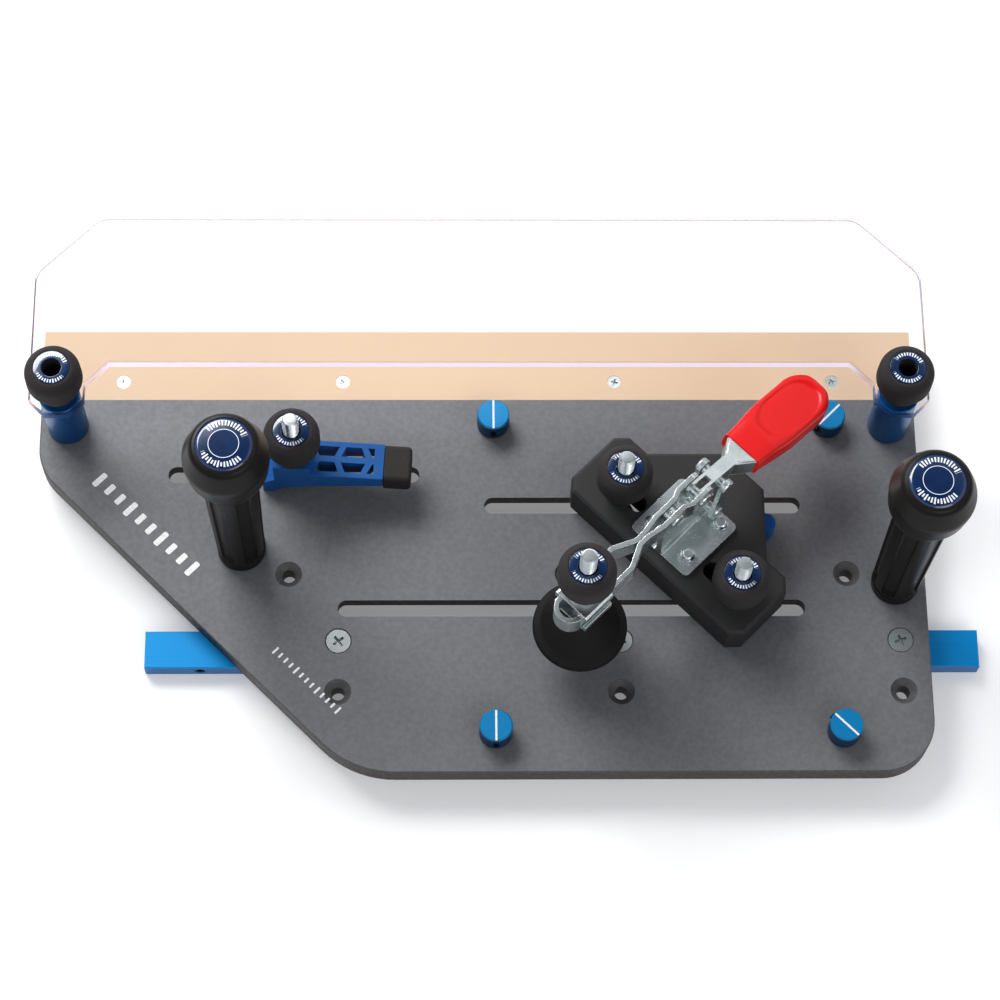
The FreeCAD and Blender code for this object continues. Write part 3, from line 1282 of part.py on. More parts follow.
failed = [item.Name for item in doc.Objects if "Invalid" in item.State or "Error" in item.State]
if failed:
    raise RuntimeError(f"failed to build: {', '.join(failed)}")
os.makedirs("parts", exist_ok=True)
for node in nodes:
    if node.Shape.isNull() or not node.Shape.isValid():
        raise RuntimeError(f"{node.Label} has no valid shape")
    node.Shape.exportStep(os.path.join("parts", f"{node.Label}.step"))
print(len(nodes), "nodes written")
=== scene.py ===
"""The looks of a router-table half-lap jig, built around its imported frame.

Lengths are in metres in the jig's own frame: X runs along the mitre bar, Y away from the user
and Z up. Pieces that are turned, threaded, moulded or dipped are made here; the rest are the
frame's own nodes, or copies of them with softened edges.
"""

from __future__ import annotations

import json
import logging
import math
from dataclasses import dataclass
from enum import Enum
from typing import Callable, Sequence, Union

import bmesh
import bpy
from mathutils import Matrix, Vector

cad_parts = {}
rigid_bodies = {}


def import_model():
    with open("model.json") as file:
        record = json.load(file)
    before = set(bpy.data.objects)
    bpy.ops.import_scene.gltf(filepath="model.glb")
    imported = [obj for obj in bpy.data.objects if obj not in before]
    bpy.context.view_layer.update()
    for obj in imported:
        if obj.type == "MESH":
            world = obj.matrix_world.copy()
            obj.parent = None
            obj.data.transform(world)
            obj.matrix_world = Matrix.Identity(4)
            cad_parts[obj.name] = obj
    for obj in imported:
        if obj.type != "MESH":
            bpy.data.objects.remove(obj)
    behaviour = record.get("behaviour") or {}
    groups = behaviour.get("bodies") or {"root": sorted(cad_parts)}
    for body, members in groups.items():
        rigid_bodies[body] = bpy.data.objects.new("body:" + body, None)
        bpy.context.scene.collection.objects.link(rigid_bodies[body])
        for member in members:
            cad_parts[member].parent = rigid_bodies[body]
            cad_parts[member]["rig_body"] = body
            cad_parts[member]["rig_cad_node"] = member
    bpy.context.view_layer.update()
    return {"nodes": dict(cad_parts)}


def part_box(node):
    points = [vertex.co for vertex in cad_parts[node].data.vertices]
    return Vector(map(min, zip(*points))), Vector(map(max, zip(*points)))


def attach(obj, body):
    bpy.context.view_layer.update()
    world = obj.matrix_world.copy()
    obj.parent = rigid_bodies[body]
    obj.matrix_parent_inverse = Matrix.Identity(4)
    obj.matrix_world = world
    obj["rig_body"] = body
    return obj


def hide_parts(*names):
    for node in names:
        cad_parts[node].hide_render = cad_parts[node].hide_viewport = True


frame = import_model()

MM = 0.001
CARRIER_TURN = math.radians(45)     # the carrier's long edge against the mitre bar
LEVER_TILT = math.radians(14)       # the closed lever slopes down towards its grip
THREAD_PITCH = 1.25 * MM
STUD_RADIUS = 4 * MM
BOLT_HALF_FLATS = 6.5 * MM
BOLT_HEAD = 5.3 * MM
SHANK_SUNK = 4 * MM                 # how far up its head a bolt's shank starts

log = logging.getLogger("half_lap_jig")

Piece = bpy.types.Object
Socket = bpy.types.NodeSocket
Sockets = dict[str, Socket]
Feed = Union[float, int, Sequence[float], Socket]
Profile = list[tuple[float, float]]


def colour(code: str) -> tuple[float, float, float, float]:
    """A scene-linear colour from six hexadecimal digits."""
    parts = [int(code[i:i + 2], 16) / 255 for i in (0, 2, 4)]
    linear = [p / 12.92 if p <= 0.04045 else ((p + 0.055) / 1.055) ** 2.4 for p in parts]
    return (*linear, 1.0)


# ---- wiring ----------------------------------------------------------------------------------

class Wiring:
    """Short ways to add and join the nodes of one tree."""

    def __init__(self, tree: bpy.types.NodeTree) -> None:
        """Args: tree: the tree to add to."""
        self.tree = tree

    def feed(self, socket: Socket, value: Feed) -> None:
        """Links an output to an input, or sets the input's own value."""
        if isinstance(value, Socket):
            self.tree.links.new(value, socket)
        else:
            socket.default_value = value

    def add(self, kind: str, settings: dict | None = None, **inputs: Feed) -> bpy.types.Node:
        """Adds a node.

        Args:
            kind: the node's type.
            settings: properties to set before the inputs are fed.
            inputs: input names, with an underscore for each space.
        Returns:
            The new node.
        """
        node = self.tree.nodes.new(kind)
        for name, value in (settings or {}).items():
            setattr(node, name, value)
        self.fill(node, **inputs)
        return node

    def fill(self, node: bpy.types.Node, **inputs: Feed) -> None:
        """Feeds a node's inputs by name, with an underscore for each space."""
        for name, value in inputs.items():
            self.feed(node.inputs[name.replace("_", " ")], value)

    def maths(self, operation: str, *values: Feed, clamp: bool = False) -> Socket:
        """The result of a Math node on one to three values."""
        node = self.add("ShaderNodeMath", {"operation": operation, "use_clamp": clamp})
        for socket, value in zip(node.inputs, values):
            self.feed(socket, value)
        return node.outputs[0]

    def split(self, vector: Socket) -> tuple[Socket, ...]:
        """The three parts of a vector."""
        return tuple(self.add("ShaderNodeSeparateXYZ", Vector=vector).outputs)

    def step(self, value: Feed, low: Feed, high: Feed) -> Socket:
        """A smooth rise from 0 at low to 1 at high."""
        node = self.add("ShaderNodeMapRange", {"interpolation_type": "SMOOTHSTEP"},
                        Value=value, From_Min=low, From_Max=high)
        return node.outputs[0]


class ShaderWiring(Wiring):
    """Wiring for a material or a shader group."""

    def place_of(self) -> Socket:
        """Object coordinates."""
        return self.add("ShaderNodeTexCoord").outputs["Object"]

    def noise(self, scale: Feed, detail: float = 3.0, vector: Feed | None = None,
              stretch: Sequence[float] = (1, 1, 1)) -> Socket:
        """Noise on Object coordinates, drawn out by a stretch along each axis."""
        spread = self.add("ShaderNodeMapping", Vector=vector or self.place_of(), Scale=stretch)
        node = self.add("ShaderNodeTexNoise", Vector=spread.outputs[0], Scale=scale, Detail=detail)
        return node.outputs[0]

    def facing(self, low: float, high: float, normal: str = "Normal",
               either: bool = True) -> Socket:
        """Where the surface looks up, or either up or down, as a mask."""
        height = self.split(self.add("ShaderNodeNewGeometry").outputs[normal])[2]
        return self.step(self.maths("ABSOLUTE", height) if either else height, low, high)

    def from_axis(self, x: Socket, y: Socket) -> Socket:
        """How far a place is from the axis."""
        return self.maths("SQRT", self.maths("ADD", self.maths("MULTIPLY", x, x),
                                             self.maths("MULTIPLY", y, y)))

    def blend(self, share: Feed, first: Feed, second: Feed) -> Socket:
        """A colour mixed from two by a share."""
        node = self.add("ShaderNodeMix", {"data_type": "RGBA"})
        for socket, value in zip((node.inputs[0], node.inputs[6], node.inputs[7]),
                                 (share, first, second)):
            self.feed(socket, value)
        return node.outputs[2]

    def bump(self, height: Feed, distance: float, strength: float = 1.0) -> Socket:
        """A normal from a height between 0 and 1."""
        node = self.add("ShaderNodeBump", Height=height, Distance=distance, Strength=strength)
        return node.outputs[0]


class NodeGroup:
    """A node tree with named inputs, built at its first use and shared after that."""

    name = ""
    kind = "ShaderNodeTree"
    wiring: type[Wiring] = ShaderWiring
    inputs: dict[str, tuple[str, Feed]] = {}
    output = ("Mask", "NodeSocketFloat")

    def build(self, wire: Wiring, inner: Sockets) -> Feed:
        """Makes the group's nodes and returns what it puts out."""
        raise NotImplementedError

    def tree(self) -> bpy.types.NodeTree:
        """The tree, made at its first use."""
        found = bpy.data.node_groups.get(self.name)
        if found:
            return found
        tree = bpy.data.node_groups.new(self.name, self.kind)
        for label, (kind, value) in self.inputs.items():
            socket = tree.interface.new_socket(label, in_out="INPUT", socket_type=kind)
            if value is not None:
                socket.default_value = value
        tree.interface.new_socket(self.output[0], in_out="OUTPUT", socket_type=self.output[1])
        wire = self.wiring(tree)
        entry = wire.add("NodeGroupInput")
        ends = wire.add("NodeGroupOutput")
        wire.feed(ends.inputs[0], self.build(wire, {s.name: s for s in entry.outputs if s.name}))
        return tree


class ShaderGroup(NodeGroup):
    """An effect that several finishes share, built once and placed in each."""

    def placed(self, wire: ShaderWiring, **values: Feed) -> Socket:
        """Places the group in a material and returns its output."""
        node = wire.add("ShaderNodeGroup", {"node_tree": self.tree()}, **values)
        return node.outputs[0]


class Mottle(ShaderGroup):
    """Soft blotches of a chosen size, pushed apart by a contrast."""

    name = "mottle"
    inputs = {"Scale": ("NodeSocketFloat", 60.0), "Contrast": ("NodeSocketFloat", 0.5)}

    def build(self, wire: ShaderWiring, inner: Sockets) -> Feed:
        """Noise, with its middle range spread out by the contrast."""
        value = wire.noise(inner["Scale"], detail=4.0)
        half = wire.maths("MULTIPLY", wire.maths("SUBTRACT", 1.0, inner["Contrast"]), 0.5)
        return wire.step(value, wire.maths("SUBTRACT", 0.5, half), wire.maths("ADD", 0.5, half))


class EdgeHighlight(ShaderGroup):
    """Where a surface turns a corner, as a mask that fades over a radius; the finishes paint a
    paler highlight with it.
    """

    name = "painted_edge_highlight"
    inputs = {"Radius": ("NodeSocketFloat", 0.4 * MM), "Amount": ("NodeSocketFloat", 1.0)}

    def build(self, wire: ShaderWiring, inner: Sockets) -> Feed:
        """One less how far the rounded normal agrees with the true one."""
        rounded = wire.add("ShaderNodeBevel", {"samples": 4}, Radius=inner["Radius"])
        true_normal = wire.add("ShaderNodeNewGeometry").outputs["Normal"]
        agree = wire.add("ShaderNodeVectorMath", {"operation": "DOT_PRODUCT"})
        wire.feed(agree.inputs[0], rounded.outputs[0])
        wire.feed(agree.inputs[1], true_normal)
        lost = wire.step(wire.maths("SUBTRACT", 1.0, agree.outputs["Value"]), 0.02, 0.2)
        return wire.maths("MULTIPLY", lost, inner["Amount"], clamp=True)


class Grain(ShaderGroup):
    """The fine pebbled skin of a moulded piece, as a height."""

    name = "grain"
    inputs = {"Scale": ("NodeSocketFloat", 1500.0)}
    output = ("Height", "NodeSocketFloat")

    def build(self, wire: ShaderWiring, inner: Sockets) -> Feed:
        """Cells softened by a finer noise."""
        cells = wire.add("ShaderNodeTexVoronoi", {"feature": "SMOOTH_F1"}, Vector=wire.place_of(),
                         Scale=inner["Scale"], Smoothness=0.6)
        fine = wire.noise(wire.maths("MULTIPLY", inner["Scale"], 1.7), detail=2.0)
        return wire.maths("MULTIPLY_ADD", fine, 0.4, cells.outputs[0])


class Streaks(ShaderGroup):
    """Fine lines along one axis, as drawn, rolled or sawn stock has."""

    name = "streaks"
    inputs = {"Scale": ("NodeSocketFloat", 900.0),
              "Stretch": ("NodeSocketVector", (0.02, 1.0, 1.0))}

    def build(self, wire: ShaderWiring, inner: Sockets) -> Feed:
        """Noise on coordinates squeezed along the lines."""
        squeezed = wire.add("ShaderNodeVectorMath", {"operation": "MULTIPLY"})
        wire.feed(squeezed.inputs[0], wire.place_of())
        wire.feed(squeezed.inputs[1], inner["Stretch"])
        node = wire.add("ShaderNodeTexNoise", Vector=squeezed.outputs[0], Scale=inner["Scale"],
                        Detail=3.0)
        return node.outputs[0]


class RingPrint(ShaderGroup):
    """Plain printed dashes round a ring, in arcs, read from a piece's own turned place."""

    name = "ring_print"
    inputs = {"Radius": ("NodeSocketFloat", 7 * MM), "Band": ("NodeSocketFloat", 1.6 * MM),
              "Count": ("NodeSocketFloat", 36.0), "Arcs": ("NodeSocketFloat", 2.0),
              "Open": ("NodeSocketFloat", 0.3), "Lead": ("NodeSocketFloat", math.radians(160))}

    def build(self, wire: ShaderWiring, inner: Sockets) -> Feed:
        """Dashes of three lengths, each cell's length drawn from its own number."""
        place = wire.add("ShaderNodeAttribute", {"attribute_name": TURNED}).outputs["Vector"]
        x, y, _ = wire.split(place)
        radius = wire.from_axis(x, y)
        turn = wire.maths("DIVIDE", wire.maths("ARCTAN2", y, x), 2 * math.pi)
        cells = wire.maths("MULTIPLY", turn, inner["Count"])
        cell = wire.maths("FLOOR", cells)
        across = wire.maths("ABSOLUTE", wire.maths("SUBTRACT", wire.maths("FRACT", cells), 0.5))
        dice = wire.add("ShaderNodeTexWhiteNoise", {"noise_dimensions": "1D"}, W=cell)
        share = wire.maths("MULTIPLY_ADD", wire.maths("ROUND", wire.maths(
            "MULTIPLY", dice.outputs["Value"], 2.0)), 0.2, 0.6)
        off = wire.maths("ABSOLUTE", wire.maths("SUBTRACT", radius, inner["Radius"]))
        reach = wire.maths("MULTIPLY", wire.maths("MULTIPLY", inner["Band"], 0.5), share)
        in_band = wire.maths("LESS_THAN", off, reach)
        in_dash = wire.maths("LESS_THAN", across, 0.27)
        wave = wire.maths("COSINE", wire.maths("SUBTRACT", wire.maths("MULTIPLY", wire.maths(
            "MULTIPLY", turn, inner["Arcs"]), 2 * math.pi), inner["Lead"]))
        in_arc = wire.maths("GREATER_THAN", wave, wire.maths("SUBTRACT", inner["Open"], 1.0))
        return wire.maths("MULTIPLY", wire.maths("MULTIPLY", in_band, in_dash), in_arc)


TURNED = "turned_place"
MOTTLE, EDGE_HIGHLIGHT, GRAIN, STREAKS, RING_PRINT = Mottle(), EdgeHighlight(), Grain(), Streaks(), RingPrint()


# ---- finishes --------------------------------------------------------------------------------

@dataclass(frozen=True)
class Finish:
    """A material: its name, a slot name, which is not used, and how it is wired."""

    name: str
    slot: str | None = None

    def wire(self, wire: ShaderWiring, surface: bpy.types.Node) -> None:
        """Feeds the Principled node."""
        raise NotImplementedError

    def material(self) -> bpy.types.Material:
        """The Blender material, made at its first use."""
        found = bpy.data.materials.get(self.name)
        if found:
            return found
        made = bpy.data.materials.new(self.name)
        made.use_nodes = True
        surface = made.node_tree.nodes["Principled BSDF"]
        self.wire(ShaderWiring(made.node_tree), surface)
        return made

    def on(self, piece: Piece) -> Piece:
        """Dresses a whole piece in this finish."""
        piece.data.materials.clear()
        piece.data.materials.append(self.material())
        return piece


@dataclass(frozen=True)
class Laminate(Finish):
    """Satin grey laminate over a brown-grey core that shows at cut sides and in holes."""

    face: str = "77787a"
    face_dark: str = "606163"
    core: str = "3d352f"
    core_dark: str = "221d1a"

    def wire(self, wire: ShaderWiring, surface: bpy.types.Node) -> None:
        """The face where the surface looks up or down, the core elsewhere, and a painted highlight
        along the edges.
        """
        upward = wire.facing(0.55, 0.85)
        broad = MOTTLE.placed(wire, Scale=14.0, Contrast=0.3)
        fine = MOTTLE.placed(wire, Scale=420.0, Contrast=0.5)
        spots = wire.maths("MULTIPLY_ADD", fine, 0.45, wire.maths("MULTIPLY", broad, 0.35))
        top = wire.blend(spots, colour(self.face), colour(self.face_dark))
        side = wire.blend(MOTTLE.placed(wire, Scale=420.0, Contrast=0.5), colour(self.core),
                          colour(self.core_dark))
        # painted highlight: edges blend towards a paler grey-brown
        edge_highlight_share = EDGE_HIGHLIGHT.placed(wire, Radius=0.5 * MM, Amount=0.35)
        body = wire.blend(upward, side, top)
        wire.fill(surface, Base_Color=wire.blend(edge_highlight_share, body, colour("8d8881")))
        rough = wire.maths("MULTIPLY_ADD", broad, 0.08,
                           wire.maths("MULTIPLY_ADD", fine, 0.06, 0.42))
        wire.fill(surface, Roughness=rough)
        wire.fill(surface, Normal=wire.bump(fine, 0.02 * MM, 0.5))


@dataclass(frozen=True)
class Fibreboard(Finish):
    """Bare fibreboard: tan felted fibres, darker on its sawn sides."""

    light: str = "bd8650"
    mid: str = "aa7240"
    dark: str = "5f3a1c"

    def wire(self, wire: ShaderWiring, surface: bpy.types.Node) -> None:
        """Short fibres in three directions over a soft mottle."""
        mottle = MOTTLE.placed(wire, Scale=160.0, Contrast=0.5)
        base = wire.blend(mottle, colour(self.light), colour(self.mid))
        fibres = None
        for turn in (0.3, 1.4, 2.5):
            spun = wire.add("ShaderNodeMapping", Vector=wire.place_of(), Rotation=(0, 0, turn))
            strands = wire.noise(620.0, vector=spun.outputs[0], stretch=(0.3, 1.0, 1.0))
            lines = wire.step(strands, 0.6, 0.66)
            fibres = lines if fibres is None else wire.maths("MAXIMUM", fibres, lines)
        top = wire.blend(wire.maths("MULTIPLY", fibres, 0.7), base, colour(self.dark))
        upward = wire.facing(0.5, 0.8)
        side = wire.blend(STREAKS.placed(wire, Scale=500.0, Stretch=(0.5, 0.5, 1.0)),
                          colour(self.dark), colour(self.mid))
        wire.fill(surface, Base_Color=wire.blend(upward, side, top))
        wire.fill(surface, Roughness=0.8, Specular_IOR_Level=0.2)
        wire.fill(surface, Normal=wire.bump(fibres, 0.05 * MM, 0.4))


class Coating(Enum):
    """The anodised blues: two close tones for the top, and a darker tone for the sides, which is
    painted shade.
    """

    BRIGHT = ("009cdf", "008acb", "00629c")
    DEEP = ("0a5c96", "064a7c", "084f84")
    PIN = ("0088bd", "0078ab", "02375b")


@dataclass(frozen=True)
class Anodised(Finish):
    """Dyed, anodised aluminium with drawn lines along one axis."""

    coating: Coating = Coating.BRIGHT
    stretch: tuple[float, float, float] = (0.02, 1.0, 1.0)
    metal: float = 0.15
    rough: float = 0.34

    def wire(self, wire: ShaderWiring, surface: bpy.types.Node) -> None:
        """Drawn lines in the colour and the gloss, with painted shade on the sides and a painted
        highlight at the corners.
        """
        lines = STREAKS.placed(wire, Scale=1300.0, Stretch=self.stretch)
        first, second, shaded_side = (colour(code) for code in self.coating.value)
        # painted shade: faces that don't look up take the coating's darker third tone
        upward = wire.facing(0.3, 0.8, either=False)
        body = wire.blend(upward, shaded_side, wire.blend(lines, first, second))
        # painted highlight: corners blend towards a paler blue
        edge_highlight_share = EDGE_HIGHLIGHT.placed(wire, Radius=0.3 * MM, Amount=0.3)
        pale = tuple(0.7 * c + 0.2 for c in first[:3]) + (1.0,)
        wire.fill(surface, Base_Color=wire.blend(edge_highlight_share, body, pale))
        wire.fill(surface, Metallic=self.metal)
        rough = wire.maths("MULTIPLY_ADD", lines, 0.14, self.rough - 0.07)
        wire.fill(surface, Roughness=rough)
        wire.fill(surface, Normal=wire.bump(lines, 0.01 * MM, 0.25))


@dataclass(frozen=True)
class ZincPlate(Finish):
    """Bright zinc: mirror-like with a clouded, faintly blue-green cast."""

    light: str = "f6f8f8"
    cast: str = "cfdcdb"
    rough: float = 0.24

    def wire(self, wire: ShaderWiring, surface: bpy.types.Node) -> None:
        """Clouds in colour and gloss, fine handling scratches, and a near-white painted highlight
        along the edges.
        """
        clouds = MOTTLE.placed(wire, Scale=110.0, Contrast=0.3)
        # painted highlight: edges blend towards near white
        edge_highlight_share = EDGE_HIGHLIGHT.placed(wire, Radius=0.3 * MM, Amount=0.6)
        body = wire.blend(clouds, colour(self.light), colour(self.cast))
        wire.fill(surface, Base_Color=wire.blend(edge_highlight_share, body, colour("fbfbf8")))
        wire.fill(surface, Metallic=1.0)
        scratches = STREAKS.placed(wire, Scale=1500.0, Stretch=(0.06, 1.0, 0.3))
        rough = wire.maths("MULTIPLY_ADD", clouds, 0.1,
                           wire.maths("MULTIPLY_ADD", scratches, 0.1, self.rough - 0.05))
        wire.fill(surface, Roughness=rough)
        wire.fill(surface, Normal=wire.bump(scratches, 0.01 * MM, 0.3))


@dataclass(frozen=True)
class OiledSteel(Finish):
    """Dark oiled steel of the set screws."""

    def wire(self, wire: ShaderWiring, surface: bpy.types.Node) -> None:
        """Near-black metal with a soft mottle."""
        clouds = MOTTLE.placed(wire, Scale=500.0, Contrast=0.3)
        wire.fill(surface, Base_Color=wire.blend(clouds, colour("3a3836"), colour("1c1b1a")))
        wire.fill(surface, Metallic=1.0)
        wire.fill(surface, Roughness=wire.maths("MULTIPLY_ADD", clouds, 0.15, 0.32))


@dataclass(frozen=True)
class ClearSheet(Finish):
    """Clear polycarbonate: all but unseen on its faces, pale and a little pink at cut edges."""

    edge: str = "cfbfdc"

    def wire(self, wire: ShaderWiring, surface: bpy.types.Node) -> None:
        """Glass that lamps shine through, whitened where the sheet is cut."""
        flat = wire.facing(0.9, 0.97, "True Normal")
        tint = wire.blend(flat, colour(self.edge), (0.985, 0.985, 0.99, 1.0))
        wire.fill(surface, Base_Color=tint)
        haze = wire.maths("MULTIPLY_ADD", MOTTLE.placed(wire, Scale=30.0, Contrast=0.3), 0.01, 0.0)
        frosted = wire.maths("MULTIPLY", wire.maths("SUBTRACT", 1.0, flat), 0.28)
        wire.fill(surface, Roughness=wire.maths("ADD", haze, frosted))
        wire.fill(surface, Transmission_Weight=1.0, IOR=1.18)
        clear = wire.add("ShaderNodeBsdfTransparent", Color=(0.97, 0.97, 0.98, 1.0))
        path = wire.add("ShaderNodeLightPath")
        passed = wire.maths("MAXIMUM", path.outputs["Is Shadow Ray"],
                            path.outputs["Is Diffuse Ray"])
        mixed = wire.add("ShaderNodeMixShader")
        wire.feed(mixed.inputs[0], passed)
        wire.feed(mixed.inputs[1], surface.outputs[0])
        wire.feed(mixed.inputs[2], clear.outputs[0])
        wire.fill(wire.tree.nodes["Material Output"], Surface=mixed.outputs[0])


@dataclass(frozen=True)
class Moulded(Finish):
    """A moulded plastic or rubber with a pebbled skin and handled patches."""

    base: str = "2b2826"
    # a paler tone for handled patches, also used for the painted highlight on corners
    wear_and_highlight: str = "45403c"
    rough: float = 0.6
    grain: float = 1500.0
    depth: float = 0.03 * MM
    # how strongly corners are painted paler as a highlight
    edge_highlight_share: float = 0.5
    coat: float = 0.0
    shine: float = 0.26

    def wire(self, wire: ShaderWiring, surface: bpy.types.Node) -> None:
        """Colour and gloss vary with handling, and corners are painted paler as a highlight."""
        patches = MOTTLE.placed(wire, Scale=70.0, Contrast=0.2)
        fine = MOTTLE.placed(wire, Scale=self.grain, Contrast=0.4)
        mask = wire.maths("MULTIPLY", wire.maths("ADD", patches, fine), 0.3)
        # painted highlight: corners blend towards the paler tone
        edge_highlight_mask = EDGE_HIGHLIGHT.placed(wire, Radius=0.5 * MM, Amount=self.edge_highlight_share)
        body = wire.blend(mask, colour(self.base), colour(self.wear_and_highlight))
        wire.fill(surface, Base_Color=wire.blend(edge_highlight_mask, body, colour(self.wear_and_highlight)))
        rough = wire.maths("MULTIPLY_ADD", patches, 0.12, self.rough - 0.06)
        wire.fill(surface, Roughness=rough)
        wire.fill(surface, Specular_IOR_Level=self.shine, Coat_Weight=self.coat,
                  Coat_Roughness=0.12)
        height = GRAIN.placed(wire, Scale=self.grain)
        wire.fill(surface, Normal=wire.bump(height, self.depth, 0.35))


@dataclass(frozen=True)
class PrintedLabel(Finish):
    """A navy label under clear resin, with plain white dashes round it."""

    ring: float = 7.1 * MM
    band: float = 2.1 * MM
    count: float = 34.0
    arcs: float = 2.0
    opened: float = 0.45
    line: float = 0.0
    base: str = "03234b"
    base_light: str = "073260"

    def wire(self, wire: ShaderWiring, surface: bpy.types.Node) -> None:
        """The dashes, and on a wide label one thin inner circle."""
        marks = RING_PRINT.placed(wire, Radius=self.ring, Band=self.band, Count=self.count,
                                  Arcs=self.arcs, Open=self.opened)
        place = wire.add("ShaderNodeAttribute", {"attribute_name": TURNED}).outputs["Vector"]
        if self.line:
            x, y, _ = wire.split(place)
            off = wire.maths("ABSOLUTE", wire.maths("SUBTRACT", wire.from_axis(x, y), self.line))
            marks = wire.maths("MAXIMUM", marks, wire.maths("LESS_THAN", off, 0.17 * MM))
        ink = wire.blend(MOTTLE.placed(wire, Scale=160.0, Contrast=0.2), colour(self.base),
                         colour(self.base_light))
        wire.fill(surface, Base_Color=wire.blend(marks, ink, colour("eef2f6")))
        rough = wire.maths("MULTIPLY_ADD", marks, 0.1, 0.22)
        wire.fill(surface, Roughness=rough)
        wire.fill(surface, Coat_Weight=1.0, Coat_Roughness=0.04)


@dataclass(frozen=True)
class MarkPaint(Finish):
    """White screen-printed or filled paint, a little worn."""

    def wire(self, wire: ShaderWiring, surface: bpy.types.Node) -> None:
        """Off-white with thin spots."""
        thin = MOTTLE.placed(wire, Scale=900.0, Contrast=0.5)
        wire.fill(surface, Base_Color=wire.blend(thin, colour("f4f4f2"), colour("dcdcda")))
        wire.fill(surface, Roughness=wire.maths("MULTIPLY_ADD", thin, 0.15, 0.45))


LAMINATE = Laminate("plate_laminate", "plate")
FIBREBOARD = Fibreboard("fibreboard", "fibreboard")
BAR_BLUE = Anodised("bright_blue_bar", "bright_blue")
PIN_BLUE = Anodised("bright_blue_pin", "bright_blue", Coating.PIN, (1.0, 1.0, 0.1), rough=0.38)
POST_BLUE = Anodised("deep_blue_post", "deep_blue", Coating.DEEP, (0.08, 0.08, 1.0), 0.3, 0.3)
ZINC = ZincPlate("zinc_plate", "zinc")
SCREW_ZINC = ZincPlate("zinc_screw", "zinc", "c9cdcd", "a3adad", 0.34)
OILED = OiledSteel("oiled_steel", "dark_steel")
CLEAR = ClearSheet("clear_sheet", "clear")
SOFT_BLACK = Moulded("soft_black", "soft_black", "201d1b", "3f3934", 0.5, 1700.0)
HANDLE_BLACK = Moulded("handle_black", "soft_black", "141210", "2c2825", 0.38, 1500.0, 0.02 * MM)
FOOT_BLACK = Moulded("foot_black", "black_rubber", "131110", "262321", 0.6, 1300.0)
PAD_BLACK = Moulded("pad_black", "black_rubber", "2a2726", "45403d", 0.62, 1500.0)
ARM_BLUE = Moulded("arm_blue", "blue_plastic", "14528f", "2f6fae", 0.42, 1900.0, 0.02 * MM, 0.4)
CARRIER_BLACK = Moulded("carrier_black", "carrier_black", "1f1f20", "3e3e40", 0.44, 900.0)
VINYL = Moulded("red_vinyl", "red_vinyl", "e00005", "ea0208", 0.26, 260.0, 0.01 * MM, 0.15, 0.5,
                0.2)
KNOB_LABEL = PrintedLabel("knob_label", "navy_label")
HANDLE_LABEL = PrintedLabel("handle_label", "navy_label", 10.1 * MM, 3.2 * MM, 44.0, 2.0, 0.55,
                            6.9 * MM)
WHITE = MarkPaint("white_paint")


# ---- shaping helpers -------------------------------------------------------------------------

def rounded(corners: Sequence[tuple[float, ...]], closed: bool, steps: int = 6) -> Profile:
    """A profile with some corners rounded.

    Args:
        corners: (radius from the axis, height) or the same with a rounding radius.
        closed: whether the last corner joins the first.
        steps: the pieces in each arc.
    Returns:
        The points of the profile.
    """
    points: Profile = []
    count = len(corners)
    for i, corner in enumerate(corners):
        here = Vector(corner[:2])
        at_end = not closed and i in (0, count - 1)
        if len(corner) < 3 or at_end:
            points.append(tuple(here))
            continue
        to_before = (Vector(corners[i - 1][:2]) - here).normalized()
        to_after = (Vector(corners[(i + 1) % count][:2]) - here).normalized()
        half = to_before.angle(to_after) / 2
        reach = corner[2] / math.tan(half)
        centre = here + (to_before + to_after).normalized() * (corner[2] / math.sin(half))
        start, end = here + to_before * reach - centre, here + to_after * reach - centre
        sweep = start.angle_signed(end)
        for k in range(steps + 1):
            turn = Matrix.Rotation(-sweep * k / steps, 2)
            points.append(tuple(centre + turn @ start))
    return points


def in_scene(name: str, data: bpy.types.ID) -> Piece:
    """A new object of some data, in the scene."""
    made = bpy.data.objects.new(name, data)
    bpy.context.scene.collection.objects.link(made)
    return made


def meshed(name: str, build: bmesh.types.BMesh) -> bpy.types.Mesh:
    """A plain mesh of a build, which is let go."""
    mesh = bpy.data.meshes.new(name)
    build.to_mesh(mesh)
    build.free()
    return mesh


def bridge(build: bmesh.types.BMesh, lower: Sequence[bmesh.types.BMVert],
           upper: Sequence[bmesh.types.BMVert]) -> None:
    """Fills between two rings, either of which may be a single point."""
    count = max(len(lower), len(upper))
    for k in range(count if count > 1 else 0):
        after = (k + 1) % count
        if len(lower) == 1:
            build.faces.new((lower[0], upper[after], upper[k]))
        elif len(upper) == 1:
            build.faces.new((lower[k], lower[after], upper[0]))
        else:
            build.faces.new((lower[k], lower[after], upper[after], upper[k]))


def joined(name: str, mesh: bpy.types.Mesh, sharp: float = 32.0) -> Piece:
    """A smooth-shaded object of a mesh, creased where faces meet at more than an angle."""
    mesh.name = name
    mesh.shade_smooth()
    mesh.set_sharp_from_angle(angle=math.radians(sharp))
    return in_scene(name, mesh)


Shape = Callable[[float, float, float], float]


